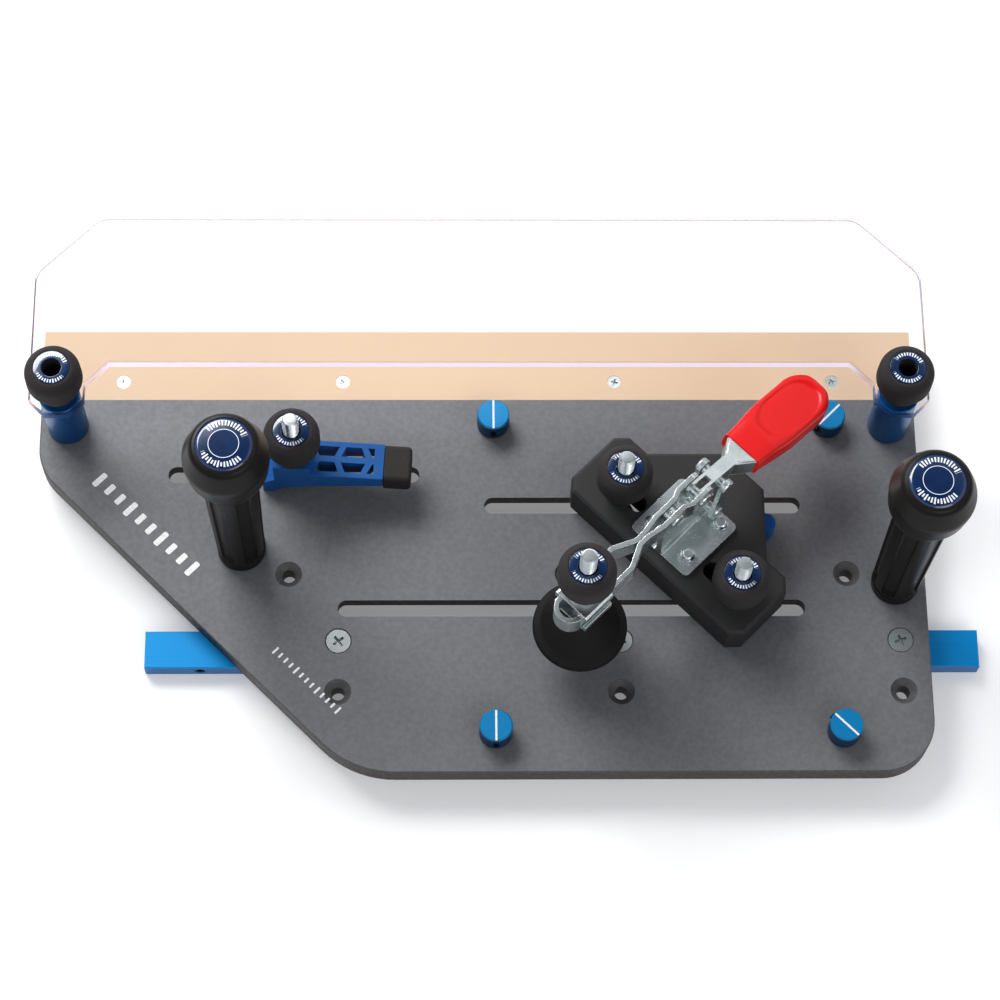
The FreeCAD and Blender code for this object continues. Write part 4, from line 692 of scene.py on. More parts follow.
def turned(name: str, profile: Profile, centre: Vector, segments: int = 96, closed: bool = False,
           shape: Shape | None = None) -> Piece:
    """A piece turned about a vertical axis.

    Args:
        name: the piece's name.
        profile: (radius, height) points; on an open profile they start and end on the axis.
        centre: where the profile's zero lies.
        segments: the steps round the axis.
        closed: whether the profile is a closed ring, clear of the axis.
        shape: a radius from (angle, radius, height), for flutes and the like.
    Returns:
        The new object, with its own place kept in an attribute.
    """
    build = bmesh.new()
    rings: list[list[bmesh.types.BMVert]] = []
    for radius, height in profile:
        if radius < 1e-7:
            rings.append([build.verts.new((0, 0, height))])
            continue
        ring = []
        for k in range(segments):
            angle = 2 * math.pi * k / segments
            reach = shape(angle, radius, height) if shape else radius
            ring.append(build.verts.new((reach * math.cos(angle), reach * math.sin(angle), height)))
        rings.append(ring)
    pairs = list(zip(rings, rings[1:] + rings[:1])) if closed else list(zip(rings, rings[1:]))
    for lower, upper in pairs:
        bridge(build, lower, upper)
    bmesh.ops.remove_doubles(build, verts=build.verts, dist=1e-7)
    bmesh.ops.recalc_face_normals(build, faces=build.faces)
    mesh = meshed(name, build)
    note_turned_place(mesh)
    mesh.transform(Matrix.Translation(centre))
    return joined(name, mesh)


def note_turned_place(mesh: bpy.types.Mesh) -> None:
    """Keeps each point's place about the mesh's own axis, for patterns that follow it."""
    places = mesh.attributes.new(TURNED, "FLOAT_VECTOR", "POINT")
    places.data.foreach_set("vector", [c for v in mesh.vertices for c in v.co])


def axis_of(node: str) -> tuple[Vector, float, float]:
    """The middle of a round node at its foot, its radius and its height."""
    low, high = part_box(node)
    middle = Vector(((low.x + high.x) / 2, (low.y + high.y) / 2, low.z))
    return middle, (high.x - low.x) / 2, high.z - low.z


def extent(node: str, turn: Matrix) -> tuple[Vector, Vector]:
    """A node's lowest and highest corner in a turned frame."""
    back = turn.to_3x3().inverted()
    points = [back @ v.co for v in frame["nodes"][node].data.vertices]
    return (Vector(min(p[i] for p in points) for i in range(3)),
            Vector(max(p[i] for p in points) for i in range(3)))


def softened(node: str, width: float, segments: int = 3, angle: float = 28.0,
             inset: float = 0.0) -> Piece:
    """A copy of a node whose sharp edges are rounded over, standing for the node.

    Args:
        node: the node to copy.
        width: how far the rounding reaches from each edge.
        segments: the steps across each rounding.
        angle: the least bend, in degrees, that is rounded.
        inset: how far the whole surface is drawn in, for stampings that pass close by.
    Returns:
        The new object, riding on the node's body.
    """
    build = bmesh.new()
    build.from_mesh(frame["nodes"][node].data)
    bmesh.ops.remove_doubles(build, verts=build.verts, dist=2e-6)
    bmesh.ops.dissolve_limit(build, angle_limit=math.radians(0.5), verts=build.verts,
                             edges=build.edges, use_dissolve_boundaries=False)
    sharp = [e for e in build.edges
             if len(e.link_faces) == 2 and e.calc_face_angle(0.0) > math.radians(angle)]
    bmesh.ops.bevel(build, geom=sharp, offset=width, offset_type="OFFSET", segments=segments,
                    profile=0.5, affect="EDGES", clamp_overlap=True)
    bmesh.ops.remove_doubles(build, verts=build.verts, dist=1e-6)
    bmesh.ops.triangulate(build, faces=[f for f in build.faces if len(f.verts) > 4])
    build.normal_update()
    for vert in build.verts:
        vert.co -= vert.normal * inset
    mesh = meshed(node, build)
    piece = joined(f"{node}_soft", mesh)
    weigh_normals(mesh)
    return settle(piece, frame["nodes"][node]["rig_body"], node)


def weigh_normals(mesh: bpy.types.Mesh) -> None:
    """Lets the larger faces round each point set its normal, so that flat faces stay flat."""
    sums = [Vector() for _ in mesh.vertices]
    for face in mesh.polygons:
        for index in face.vertices:
            sums[index] += face.normal * face.area
    mesh.normals_split_custom_set_from_vertices([total.normalized() for total in sums])


def settle(piece: Piece, body: str, *nodes: str) -> Piece:
    """Lets a piece ride on a body and stand for some nodes, and reports it."""
    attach(piece, body)
    if nodes:
        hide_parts(*nodes)
    log.info("%s rides on %s: %d faces", piece.name, body, len(piece.data.polygons))
    return piece


def dress_nodes(finish: Finish, *nodes: str) -> None:
    """Gives a finish to nodes whose shape stays as it is."""
    for node in nodes:
        piece = frame["nodes"][node]
        finish.on(piece)
        log.info("%s keeps its shape", node)


# ---- grown pieces ----------------------------------------------------------------------------

class Growth(NodeGroup):
    """A Geometry Nodes tree with named inputs, grown into plain meshes."""

    kind = "GeometryNodeTree"
    wiring = Wiring
    output = ("Geometry", "NodeSocketGeometry")

    def shape(self, wire: Wiring, inner: Sockets) -> Socket:
        """Makes the shape's nodes and returns its geometry."""
        raise NotImplementedError

    def build(self, wire: Wiring, inner: Sockets) -> Socket:
        """The shape, made real and dressed."""
        real = wire.add("GeometryNodeRealizeInstances", Geometry=self.shape(wire, inner))
        return wire.add("GeometryNodeSetMaterial", Geometry=real.outputs[0],
                        Material=inner["Material"]).outputs[0]

    def grow(self, name: str, finish: Finish, place: Matrix, **values: Feed) -> Piece:
        """Grows one plain piece.

        Args:
            name: the piece's name.
            finish: what it is dressed in.
            place: where it goes, written into its mesh.
            values: the tree's inputs by name, with an underscore for each space.
        Returns:
            The new object, with no modifier left on it.
        """
        tree = self.tree()
        seed = in_scene(f"{name}_seed", bpy.data.meshes.new(f"{name}_seed"))
        modifier = seed.modifiers.new("grow", "NODES")
        modifier.node_group = tree
        wanted = {key.replace("_", " "): value for key, value in values.items()}
        wanted["Material"] = finish.material()
        for socket in tree.interface.items_tree:
            if socket.in_out == "INPUT" and socket.name in wanted:
                modifier[socket.identifier] = wanted[socket.name]
        mesh = bpy.data.meshes.new_from_object(
            seed.evaluated_get(bpy.context.evaluated_depsgraph_get()))
        seed.modifiers.remove(modifier)
        bpy.data.objects.remove(seed)
        mesh.transform(place)
        piece = joined(name, mesh)
        return piece


class ThreadedRod(Growth):
    """A rod with a rolled thread, its lower end at zero and both ends chamfered."""

    name = "threaded_rod"
    inputs = {"Length": ("NodeSocketFloat", 20 * MM), "Radius": ("NodeSocketFloat", 4 * MM),
              "Pitch": ("NodeSocketFloat", THREAD_PITCH), "Depth": ("NodeSocketFloat", 0.5 * MM),
              "Tip": ("NodeSocketFloat", 1.2 * MM), "Rows": ("NodeSocketInt", 128),
              "Plain": ("NodeSocketFloat", 0.0), "Material": ("NodeSocketMaterial", None)}
    around = 40

    def shape(self, wire: Wiring, inner: Sockets) -> Socket:
        """A grid rolled into a tube whose radius follows the thread."""
        grid = wire.add("GeometryNodeMeshGrid", Size_X=1.0, Size_Y=1.0, Vertices_X=self.around + 1,
                        Vertices_Y=inner["Rows"])
        across, along, _ = wire.split(wire.add("GeometryNodeInputPosition").outputs[0])
        turn = wire.maths("ADD", across, 0.5)
        share = wire.maths("ADD", along, 0.5)
        height = wire.maths("MULTIPLY", share, inner["Length"])
        phase = wire.maths("FRACT", wire.maths("ADD", wire.maths(
            "SUBTRACT", wire.maths("DIVIDE", height, inner["Pitch"]), turn), 1.0))
        ridge = wire.maths("ABSOLUTE", wire.maths("MULTIPLY_ADD", phase, 2.0, -1.0))
        rounded_ridge = wire.step(ridge, 0.08, 0.92)
        cut = wire.maths("MULTIPLY", rounded_ridge, inner["Depth"])
        threaded = wire.maths("GREATER_THAN", height, inner["Plain"])
        radius = wire.maths("SUBTRACT", inner["Radius"], wire.maths("MULTIPLY", cut, threaded))
        from_end = wire.maths("MINIMUM", height, wire.maths("SUBTRACT", inner["Length"], height))
        core = wire.maths("SUBTRACT", inner["Radius"], inner["Tip"])
        radius = wire.maths("MINIMUM", radius, wire.maths("ADD", core, from_end))
        inside = wire.maths("MULTIPLY", wire.maths("GREATER_THAN", share, 1e-5),
                            wire.maths("LESS_THAN", share, 1 - 1e-5))
        radius = wire.maths("MULTIPLY", radius, inside)
        angle = wire.maths("MULTIPLY", turn, 2 * math.pi)
        spot = wire.add("ShaderNodeCombineXYZ")
        wire.feed(spot.inputs[0], wire.maths("MULTIPLY", radius, wire.maths("COSINE", angle)))
        wire.feed(spot.inputs[1], wire.maths("MULTIPLY", radius, wire.maths("SINE", angle)))
        wire.feed(spot.inputs[2], height)
        rolled = wire.add("GeometryNodeSetPosition", Geometry=grid.outputs["Mesh"],
                          Position=spot.outputs[0])
        merged = wire.add("GeometryNodeMergeByDistance", Geometry=rolled.outputs[0], Distance=1e-6)
        return merged.outputs[0]


class DashRow(Growth):
    """Flat dashes with rounded corners, printed in a straight row; every few is a long one."""

    name = "dash_row"
    inputs = {"Count": ("NodeSocketInt", 9), "Step": ("NodeSocketVector", (6 * MM, 0, 0)),
              "Turn": ("NodeSocketFloat", 0.0), "Length": ("NodeSocketFloat", 9 * MM),
              "Short": ("NodeSocketFloat", 0.55), "Width": ("NodeSocketFloat", 2 * MM),
              "Every": ("NodeSocketInt", 4), "Thickness": ("NodeSocketFloat", 0.06 * MM),
              "Material": ("NodeSocketMaterial", None)}

    def shape(self, wire: Wiring, inner: Sockets) -> Socket:
        """A filled, thickened dash on each point of a line."""
        outline = wire.add("GeometryNodeCurvePrimitiveQuadrilateral", Width=inner["Width"],
                           Height=inner["Length"])
        soft = wire.add("GeometryNodeFilletCurve", {"mode": "POLY"}, Curve=outline.outputs[0],
                        Count=3, Radius=wire.maths("MULTIPLY", inner["Width"], 0.3))
        filled = wire.add("GeometryNodeFillCurve", {"mode": "NGONS"}, Curve=soft.outputs[0])
        thick = wire.add("GeometryNodeExtrudeMesh", {"mode": "FACES"}, Mesh=filled.outputs[0],
                         Offset_Scale=inner["Thickness"], Individual=False)
        both = wire.add("GeometryNodeJoinGeometry")
        under = wire.add("GeometryNodeFlipFaces", Mesh=filled.outputs[0])
        wire.feed(both.inputs[0], thick.outputs[0])
        wire.feed(both.inputs[0], under.outputs[0])
        dash = wire.add("GeometryNodeMergeByDistance", Geometry=both.outputs[0], Distance=1e-7)
        line = wire.add("GeometryNodeMeshLine", Count=inner["Count"], Offset=inner["Step"])
        index = wire.add("GeometryNodeInputIndex").outputs[0]
        every = wire.maths("MODULO", index, inner["Every"])
        is_short = wire.maths("GREATER_THAN", every, 0.5)
        size = wire.maths("SUBTRACT", 1.0, wire.maths(
            "MULTIPLY", is_short, wire.maths("SUBTRACT", 1.0, inner["Short"])))
        scale = wire.add("ShaderNodeCombineXYZ", X=1.0, Y=size, Z=1.0)
        spin = wire.add("ShaderNodeCombineXYZ", X=0.0, Y=0.0, Z=inner["Turn"])
        turned_dash = wire.add("FunctionNodeEulerToRotation", Euler=spin.outputs[0])
        row = wire.add("GeometryNodeInstanceOnPoints", Points=line.outputs[0],
                       Instance=dash.outputs[0], Rotation=turned_dash.outputs[0],
                       Scale=scale.outputs[0])
        return row.outputs[0]


THREADED_ROD, DASH_ROW = ThreadedRod(), DashRow()


def stud(name: str, foot: Vector, length: float, plain: float = 0.0) -> Piece:
    """One M8 stud, grown from its foot, plain up to a height and threaded above it."""
    rows = max(int(length / THREAD_PITCH * 9), 24)
    return THREADED_ROD.grow(name, ZINC, Matrix.Translation(foot), Length=length,
                             Radius=STUD_RADIUS, Rows=rows, Plain=plain)


def merged(name: str, pieces: Sequence[Piece]) -> Piece:
    """One object of several, each of which goes."""
    build = bmesh.new()
    materials = pieces[0].data.materials[:]
    for piece in pieces:
        build.from_mesh(piece.data)
        bpy.data.objects.remove(piece)
    mesh = meshed(name, build)
    for material in materials:
        mesh.materials.append(material)
    return joined(name, mesh)


# ---- the jig's sub-assemblies ----------------------------------------------------------------

@dataclass
class Knob:
    """A soft round clamping knob, its body named after it, with a ring label in its crown."""

    node: str
    open_bore: float = 4.6 * MM
    recess: float = 0.8 * MM
    lip: float = 0.15 * MM

    def build(self) -> None:
        """Makes the knob, its label and, where it has one, dresses its insert."""
        foot, radius, height = axis_of(self.node)
        _, label_radius, label_thick = axis_of(f"{self.node}_label")
        neck = radius * 0.7
        rim = label_radius + self.lip
        floor = height - self.recess
        profile = rounded([
            (self.open_bore, 0.0), (neck - 0.4 * MM, 0.0), (neck, 0.5 * MM, 0.3 * MM),
            (neck - 0.3 * MM, height * 0.3, 2.0 * MM), (radius, height * 0.43, 4.0 * MM),
            (radius - 0.2 * MM, height * 0.86, 6.0 * MM), (rim + 1.1 * MM, height, 2.2 * MM),
            (rim, height - 0.1 * MM, 0.3 * MM), (rim, floor), (self.open_bore, floor)],
            closed=True, steps=10)
        knob = turned(f"{self.node}_soft", profile, foot, closed=True)
        settle(SOFT_BLACK.on(knob), self.node, self.node)
        edge = 0.15 * MM
        inner = self.open_bore + 0.05 * MM
        ring = rounded([(inner, 0.0), (label_radius, 0.0), (label_radius, label_thick - edge, edge),
                        (inner + edge, label_thick + 0.1 * MM, edge * 2),
                        (inner, label_thick - edge)], closed=True, steps=4)
        seat = foot + Vector((0, 0, floor))
        label = turned(f"{self.node}_ring", ring, seat, closed=True)
        settle(KNOB_LABEL.on(label), self.node, f"{self.node}_label")
        insert = f"{self.node}_insert"
        if insert in frame["nodes"]:
            dress_nodes(ZINC, insert)


@dataclass
class PushHandle:
    """A tall push handle: a fluted grip, an egg-shaped head and a domed label."""

    side: str
    flutes: int = 6
    flute_depth: float = 1.3 * MM
    flute_half: float = 0.3
    collar: float = 5.5 * MM
    grip_top: float = 96 * MM
    base: float = 11.8 * MM
    waist: float = 13.4 * MM

    def radius_at(self, angle: float, radius: float, height: float) -> float:
        """The grip's radius, cut back in its flutes."""
        rise = min(max((height - self.collar - 4 * MM) / (2.5 * MM), 0.0), 1.0)
        fall = min(max((self.grip_top - 5 * MM - height) / (2.5 * MM), 0.0), 1.0)
        step = 2 * math.pi / self.flutes
        off = abs((angle + step / 2) % step - step / 2)
        share = min(max((self.flute_half - off) / 0.05, 0.0), 1.0)
        smooth = share * share * (3 - 2 * share)
        return radius - self.flute_depth * smooth * rise * fall

    def build(self) -> None:
        """Makes the handle and its label."""
        node = f"handle_{self.side}"
        foot, head, _ = axis_of(node)
        label_foot, label_radius, label_height = axis_of(f"{node}_label")
        height = label_foot.z - foot.z + 1 * MM
        base, waist = self.base, self.waist
        low, high = self.collar + 4 * MM, self.grip_top - 2.5 * MM
        grip = [(base + (waist - base) * t, low + (high - low) * t)
                for t in (0, 0.03, 0.06, 0.3, 0.6, 0.9, 0.96, 0.985, 1)]
        rim = label_radius + 0.1 * MM
        profile = rounded([
            (0.0, 0.0), (base - 0.6 * MM, 0.0), (base, 0.6 * MM, 0.5 * MM),
            (base, self.collar, 0.5 * MM), (base - 0.7 * MM, self.collar + 0.9 * MM, 0.5 * MM),
            (base - 0.2 * MM, self.collar + 1.9 * MM, 0.5 * MM), *grip,
            (waist, self.grip_top, 0.6 * MM),
            (waist + 2.5 * MM, self.grip_top + 0.3 * MM, 1.6 * MM),
            (head - 1.3 * MM, self.grip_top + 10 * MM, 16 * MM),
            (head, self.grip_top + 22 * MM, 9 * MM), (rim + 2.2 * MM, height - 0.4 * MM, 5 * MM),
            (rim + 0.3 * MM, height + 0.1 * MM, 0.5 * MM), (rim, height - 1.0 * MM),
            (0.0, height - 1.0 * MM)], closed=False, steps=12)
        body = turned(f"{node}_soft", profile, foot, segments=168, shape=self.radius_at)
        settle(HANDLE_BLACK.on(body), "jig", node)
        edge = label_radius
        dome = rounded([
            (0.0, 0.0), (edge, 0.0), (edge, 0.9 * MM, 0.4 * MM),
            (edge - 1.6 * MM, label_height * 0.8, 3 * MM),
            (edge * 0.5, label_height * 0.97, 22 * MM), (0.0, label_height)], closed=False, steps=8)
        label = turned(f"{node}_dome", dome, label_foot, segments=128)
        settle(HANDLE_LABEL.on(label), "jig", f"{node}_label")


@dataclass
class BasePlate:
    """The plate, its fibreboard backer, the mitre bar and their screws."""

    mark_lift: float = 0.01 * MM
    corner_cut: float = 157 * MM

    def build(self) -> None:
        """Dresses the flat stock and prints the plate's marks."""
        dress_nodes(LAMINATE, "base_plate")
        dress_nodes(FIBREBOARD, "backer_strip")
        dress_nodes(SCREW_ZINC, "backer_screws", "mitre_bar_screws", "handle_bolts", "guard_bolts",
                    "stop_pin_posts")
        dress_nodes(BAR_BLUE, "mitre_bar")
        dress_nodes(OILED, "mitre_bar_set_screws")
        self.print_marks()

    def print_marks(self) -> None:
        """Two plain rows of dashes along the cut corner."""
        low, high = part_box("base_plate")
        top = high.z + self.mark_lift
        along = Vector((1, -1, 0)).normalized()
        inward = Vector((1, 1, 0)).normalized()
        corner = Vector((low.x, low.y + self.corner_cut, top))
        rows = [("plate_scale", 26 * MM, 17.5 * MM, 10, 7.4 * MM, 8.6 * MM, 3.0 * MM, 3),
                ("plate_dots", 152 * MM, 17 * MM, 13, 3.6 * MM, 4.2 * MM, 1.1 * MM, 4)]
        for name, start, inset, count, step, length, width, every in rows:
            begin = corner + along * start + inward * inset
            row = DASH_ROW.grow(name, WHITE, Matrix.Translation(begin), Count=count,
                                Step=along * step, Turn=math.radians(-45), Length=length,
                                Short=0.72, Width=width, Every=every)
            settle(row, "jig")


@dataclass
class Guard:
    """The clear guard on its two blue posts, held by two knobs."""

    def build(self) -> None:
        """Dresses the sheet and the posts and makes the knobs."""
        CLEAR.on(softened("clear_guard", 0.35 * MM, segments=2))
        dress_nodes(POST_BLUE, "guard_post_left", "guard_post_right")
        for side in ("left", "right"):
            Knob(f"guard_knob_{side}").build()


@dataclass
class StopPin:
    """An eccentric stop pin with a paint-filled index line."""

    node: str
    turn: float
    line_half: float = 0.5 * MM
    groove: float = 0.4 * MM

    def build(self) -> None:
        """Dresses the pin and fills its groove."""
        dress_nodes(PIN_BLUE, self.node)
        dress_nodes(OILED, f"{self.node}_set_screw")
        foot, radius, height = axis_of(self.node)
        place = (Matrix.Translation(foot + Vector((0, 0, height - self.groove))) @
                 Matrix.Rotation(self.turn, 4, "Z"))
        inlay = DASH_ROW.grow(f"{self.node}_line", WHITE, place, Count=1, Turn=math.pi / 2,
                              Length=2 * radius - 0.9 * MM, Width=2 * self.line_half,
                              Thickness=self.groove - 0.06 * MM)
        settle(inlay, self.node)


@dataclass
class HoldDown:
    """The swinging hold-down: blue arm, rubber tip, threaded bolt and knob."""

    def build(self) -> None:
        """Rounds the arm and tip, threads the bolt and makes the knob."""
        ARM_BLUE.on(softened("hold_down_arm", 0.5 * MM))
        PAD_BLACK.on(softened("hold_down_pad", 0.8 * MM, segments=4))
        thread_bolt("hold_down_bolt")
        Knob("hold_down_knob").build()


def thread_bolt(node: str, reach: float = 42 * MM) -> None:
    """Stands threaded rods in for the shanks of a node of one or more hexagon bolts.

    Args:
        node: the node with the bolts, which its body is named after.
        reach: the length of thread at the top of each bolt.
    """
    pieces = []
    for number, solid in enumerate(loose_parts(node)):
        low = Vector(min(p[i] for p in solid) for i in range(3))
        high = Vector(max(p[i] for p in solid) for i in range(3))
        middle = Vector(((low.x + high.x) / 2, (low.y + high.y) / 2, low.z))
        head = bolt_head(f"{node}_head_{number}", middle, BOLT_HALF_FLATS, BOLT_HEAD)
        length = high.z - low.z - SHANK_SUNK
        foot = middle + Vector((0, 0, SHANK_SUNK))
        shank = stud(f"{node}_shank_{number}", foot, length, plain=length - reach)
        pieces += [shank, head]
    piece = merged(f"{node}_threaded", pieces)
    ZINC.on(piece)
    settle(piece, node, node)


def bolt_head(name: str, foot: Vector, half_flats: float, height: float) -> Piece:
    """A hexagon head with chamfered corners."""
    corner = half_flats / math.cos(math.pi / 6) - 0.25 * MM

    def hexagonal(angle: float, radius: float, _: float) -> float:
        """The radius of a hexagon, or of the chamfer's circle where that is less."""
        off = (angle % (math.pi / 3)) - math.pi / 6
        return min(radius, half_flats / math.cos(off))

    profile = [(0.0, 0.0), (half_flats * 0.98, 0.0), (corner, 0.9 * MM),
               (corner, height - 0.2 * MM), (half_flats * 1.02, height), (0.0, height)]
    return turned(name, profile, foot, segments=60, shape=hexagonal)


def loose_parts(node: str) -> list[list[Vector]]:
    """The points of each separate solid in a node, from left to right."""
    build = bmesh.new()
    build.from_mesh(frame["nodes"][node].data)
    bmesh.ops.remove_doubles(build, verts=build.verts, dist=1e-6)
    left = set(build.verts)
    parts: list[list[Vector]] = []
    while left:
        pending = [left.pop()]
        found = []
        while pending:
            vert = pending.pop()
            found.append(vert.co.copy())
            for edge in vert.link_edges:
                other = edge.other_vert(vert)
                if other in left:
                    left.remove(other)
                    pending.append(other)
        parts.append(found)
    build.free()
    return sorted(parts, key=lambda points: min(p.x for p in points))


@dataclass
class Carrier:
    """The black carrier plate with its two bolts, washers and knobs."""

    def build(self) -> None:
        """Rounds the plate's edges, threads the bolts and makes the knobs."""
        CARRIER_BLACK.on(softened("carrier_plate", 0.35 * MM))
        dress_nodes(ARM_BLUE, "carrier_button")
        dress_nodes(ZINC, "carrier_washers")
        thread_bolt("carrier_bolts")
        for side in ("back", "front"):
            Knob(f"carrier_knob_{side}").build()


@dataclass
class Grip:
    """The dipped red grip: a flat paddle with a sunk oval panel and a rolled rim."""

    sections: int = 96
    around: int = 72
    rim: float = 2.4 * MM
    sunk: float = 0.9 * MM
    roll: float = 1.1 * MM
    panel_middle: float = 0.585
    panel_reach: float = 0.355
    panel_power: float = 2.6
    squareness: float = 0.42

    def half_width(self, x: float, length: float, narrow: float, wide: float) -> float:
        """Half the paddle's width at a distance from its start."""
        spread = min(x / (length * 0.45), 1.0)
        width = narrow + (wide - narrow) * spread * spread * (3 - 2 * spread)
        left = length - x
        if left < wide:
            width = min(width, math.sqrt(max(wide * wide - (wide - left) ** 2, 0.0)))
        return width

    def build(self) -> None:
        """Lofts the paddle along the lever and sinks its panel."""
        turn = Matrix.Rotation(CARRIER_TURN, 4, "Z") @ Matrix.Rotation(LEVER_TILT, 4, "Y")
        low, high = extent("clamp_grip", turn)
        length, wide = high.x - low.x + 2.5 * MM, (high.y - low.y) / 2 + 0.8 * MM
        thick = (high.z - low.z) / 2
        middle = Vector((low.x, (low.y + high.y) / 2, (low.z + high.z) / 2))
        narrow = wide * 0.83
        build = bmesh.new()
        rings = []
        for i in range(self.sections + 1):
            share = i / self.sections
            x = length * math.sin(share * math.pi / 2) ** 0.9
            half = self.half_width(x, length, narrow, wide)
            flat = thick * min(1.0, 0.78 + 0.22 * min(x / (12 * MM), 1.0))
            flat *= min(1.0, (max(half, 1e-5) / (thick * 1.1)) ** 0.5)
            rings.append(self.section(build, middle, x, half, flat, length))
        for first, second in zip(rings, rings[1:]):
            bridge(build, first, second)
        build.faces.new(rings[0])
        build.faces.new(rings[-1])
        bmesh.ops.remove_doubles(build, verts=build.verts, dist=2e-6)
        bmesh.ops.recalc_face_normals(build, faces=build.faces)
        mesh = meshed("clamp_grip_dipped", build)
        mesh.transform(turn)
        piece = joined("clamp_grip_dipped", mesh, 40.0)
        settle(VINYL.on(piece), "clamp_lever", "clamp_grip")

    def section(self, build: bmesh.types.BMesh, middle: Vector, x: float, half: float,
                flat: float, length: float) -> list[bmesh.types.BMVert]:
        """One ring of the loft: a rounded oblong, sunk on top inside the rim."""
        ring = []
        for k in range(self.around):
            angle = 2 * math.pi * k / self.around
            c, s = math.cos(angle), math.sin(angle)
            y = half * math.copysign(abs(c) ** self.squareness, c)
            z = flat * math.copysign(abs(s) ** self.squareness, s)
            across = max(half - self.rim, 1e-6)
            along = (x - length * self.panel_middle) / (length * self.panel_reach)
            power = self.panel_power
            off = (abs(along) ** power + abs(y / across) ** power) ** (1 / power)
            if s > 0 and off < 1:
                share = min((1 - off) * across / self.roll, 1.0)
                z -= self.sunk * share * share * (3 - 2 * share)
            ring.append(build.verts.new(middle + Vector((x, y, z))))
        return ring


@dataclass
class ToggleClamp:
    """The zinc toggle clamp with its red grip, spindle and rubber foot."""

    foot_neck: float = 9.5 * MM
    foot_floor: float = 7 * MM
    foot_bore: float = 4.1 * MM

    def build(self) -> None:
        """Rounds the stampings and makes the grip, the spindle and the foot."""
        for node, width in (("clamp_base_left", 0.35), ("clamp_base_right", 0.35),
                            ("clamp_base_nuts", 0.2), ("clamp_base_rivets", 0.25),
                            ("clamp_arm_rivet", 0.25),
                            ("clamp_links", 0.35), ("clamp_link_rivets", 0.25),
                            ("spindle_washers", 0.4), ("spindle_nuts", 0.35)):
            ZINC.on(softened(node, width * MM))
        for node, width in (("clamp_arm", 0.6), ("clamp_lever", 0.5)):
            ZINC.on(softened(node, width * MM, inset=0.05 * MM))
        dress_nodes(ZINC, "clamp_base_bolts")
        Grip().build()
        self.make_spindle()
        self.make_foot()
        Knob("spindle_knob").build()

    def make_spindle(self) -> None:
        """The threaded spindle."""
        foot, _, height = axis_of("spindle_bolt")
        rod = stud("spindle_threaded", foot, height)
        settle(rod, "spindle", "spindle_bolt")

    def make_foot(self) -> None:
        """The rubber cone, hollowed for the spindle."""
        foot, rim, height = axis_of("spindle_foot")
        neck, floor, bore = self.foot_neck, self.foot_floor, self.foot_bore
        profile = rounded([
            (0.0, 0.0), (rim - 2.0 * MM, 0.0), (rim, 1.6 * MM, 1.4 * MM),
            (rim - 0.2 * MM, 5 * MM, 1.6 * MM),
            (rim - 4 * MM, 7.2 * MM, 5 * MM), (neck + 0.6 * MM, height - 3.2 * MM, 5 * MM),
            (neck, height, 1.0 * MM), (bore, height, 0.3 * MM), (bore, floor), (0.0, floor)],
            closed=False, steps=10)
        piece = turned("spindle_foot_rubber", profile, foot, segments=128)
        settle(FOOT_BLACK.on(piece), "spindle", "spindle_foot")


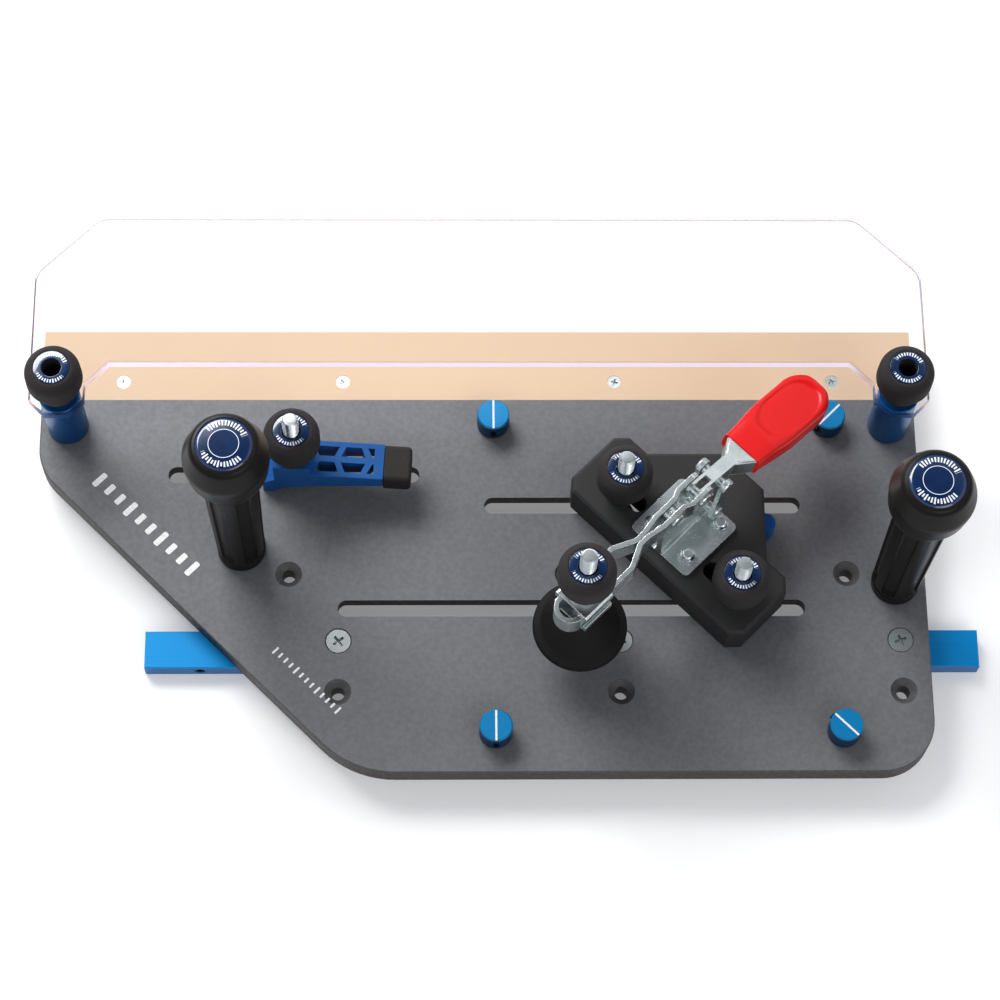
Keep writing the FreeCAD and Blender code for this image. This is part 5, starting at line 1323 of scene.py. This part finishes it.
@dataclass
class Studio:
    """The floor, the soft lights and the camera."""

    camera_at: tuple[float, float, float] = (-0.02159, -0.45479, 1.33247)
    camera_pan: float = math.radians(3.434)
    camera_tilt: float = math.radians(22.0)
    camera_roll: float = math.radians(3.136)
    lens: float = 102.62
    floor_reach: float = 6.0
    floor_tone: str = "e6e6e6"
    floor_glow: float = 0.2

    def build(self) -> None:
        """Sets up everything that isn't part of the jig."""
        bpy.context.scene.view_settings.view_transform = "Standard"
        bpy.context.scene.view_settings.look = "Medium High Contrast"
        self.lay_floor()
        self.hang_lights()
        self.set_camera()

    def lay_floor(self) -> None:
        """A plain pale floor under the mitre bar."""
        reach = self.floor_reach
        mesh = bpy.data.meshes.new("floor")
        mesh.from_pydata([(-reach, -reach, 0), (reach, -reach, 0), (reach, reach, 0),
                          (-reach, reach, 0)], [], [(0, 1, 2, 3)])
        floor = in_scene("floor", mesh)
        material = bpy.data.materials.new("floor")
        material.use_nodes = True
        surface = material.node_tree.nodes["Principled BSDF"]
        ShaderWiring(material.node_tree).fill(
            surface, Base_Color=colour(self.floor_tone), Roughness=0.9,
            Emission_Color=(1, 1, 1, 1), Emission_Strength=self.floor_glow)
        mesh.materials.append(material)

    def lamp(self, name: str, size: tuple[float, float], at: Sequence[float], power: float) -> None:
        """One soft oblong light that faces the jig."""
        data = bpy.data.lights.new(name, "AREA")
        data.shape = "RECTANGLE"
        data.size, data.size_y = size
        data.energy = power
        light = in_scene(name, data)
        light.location = at
        light.rotation_mode = "QUATERNION"
        light.rotation_quaternion = (-Vector(at)).to_track_quat("-Z", "Y")

    def hang_lights(self) -> None:
        """A wide key from behind and above, a front fill and a pale sky with a darker rim."""
        self.lamp("key", (1.2, 0.8), (-0.75, 1.2, 1.45), 29.0)
        self.lamp("fill", (1.2, 0.8), (0.8, -1.2, 1.3), 5.0)
        world = bpy.data.worlds.new("studio")
        bpy.context.scene.world = world
        world.use_nodes = True
        wire = ShaderWiring(world.node_tree)
        height = wire.split(wire.add("ShaderNodeTexCoord").outputs["Generated"])[2]
        risen = wire.blend(wire.step(height, 0.05, 0.5), (0.08, 0.085, 0.1, 1),
                           (0.66, 0.67, 0.7, 1))
        sky = wire.blend(wire.step(height, 0.72, 0.95), risen, (0.1, 0.105, 0.12, 1))
        wire.feed(world.node_tree.nodes["Background"].inputs["Color"], sky)

    def set_camera(self) -> None:
        """The camera, high in front of the jig and a little rolled."""
        data = bpy.data.cameras.new("camera")
        data.lens = self.lens
        data.clip_start, data.clip_end = 0.05, 30.0
        camera = in_scene("camera", data)
        turn = (Matrix.Rotation(-self.camera_pan, 4, "Z") @
                Matrix.Rotation(self.camera_tilt, 4, "X") @
                Matrix.Rotation(self.camera_roll, 4, "Z"))
        camera.matrix_world = Matrix.Translation(self.camera_at) @ turn
        bpy.context.scene.camera = camera


def main() -> None:
    """Builds the studio and every sub-assembly in order."""
    logging.basicConfig(level=logging.INFO, format="%(message)s")
    Studio().build()
    BasePlate().build()
    Guard().build()
    for side in ("left", "right"):
        PushHandle(side).build()
    for place, turn in (("back_middle", 90), ("back_right", 45), ("front_middle", 90),
                        ("front_right", -45)):
        StopPin(f"stop_pin_{place}", math.radians(turn)).build()
    HoldDown().build()
    Carrier().build()
    ToggleClamp().build()


if __name__ == "__main__":
    main()
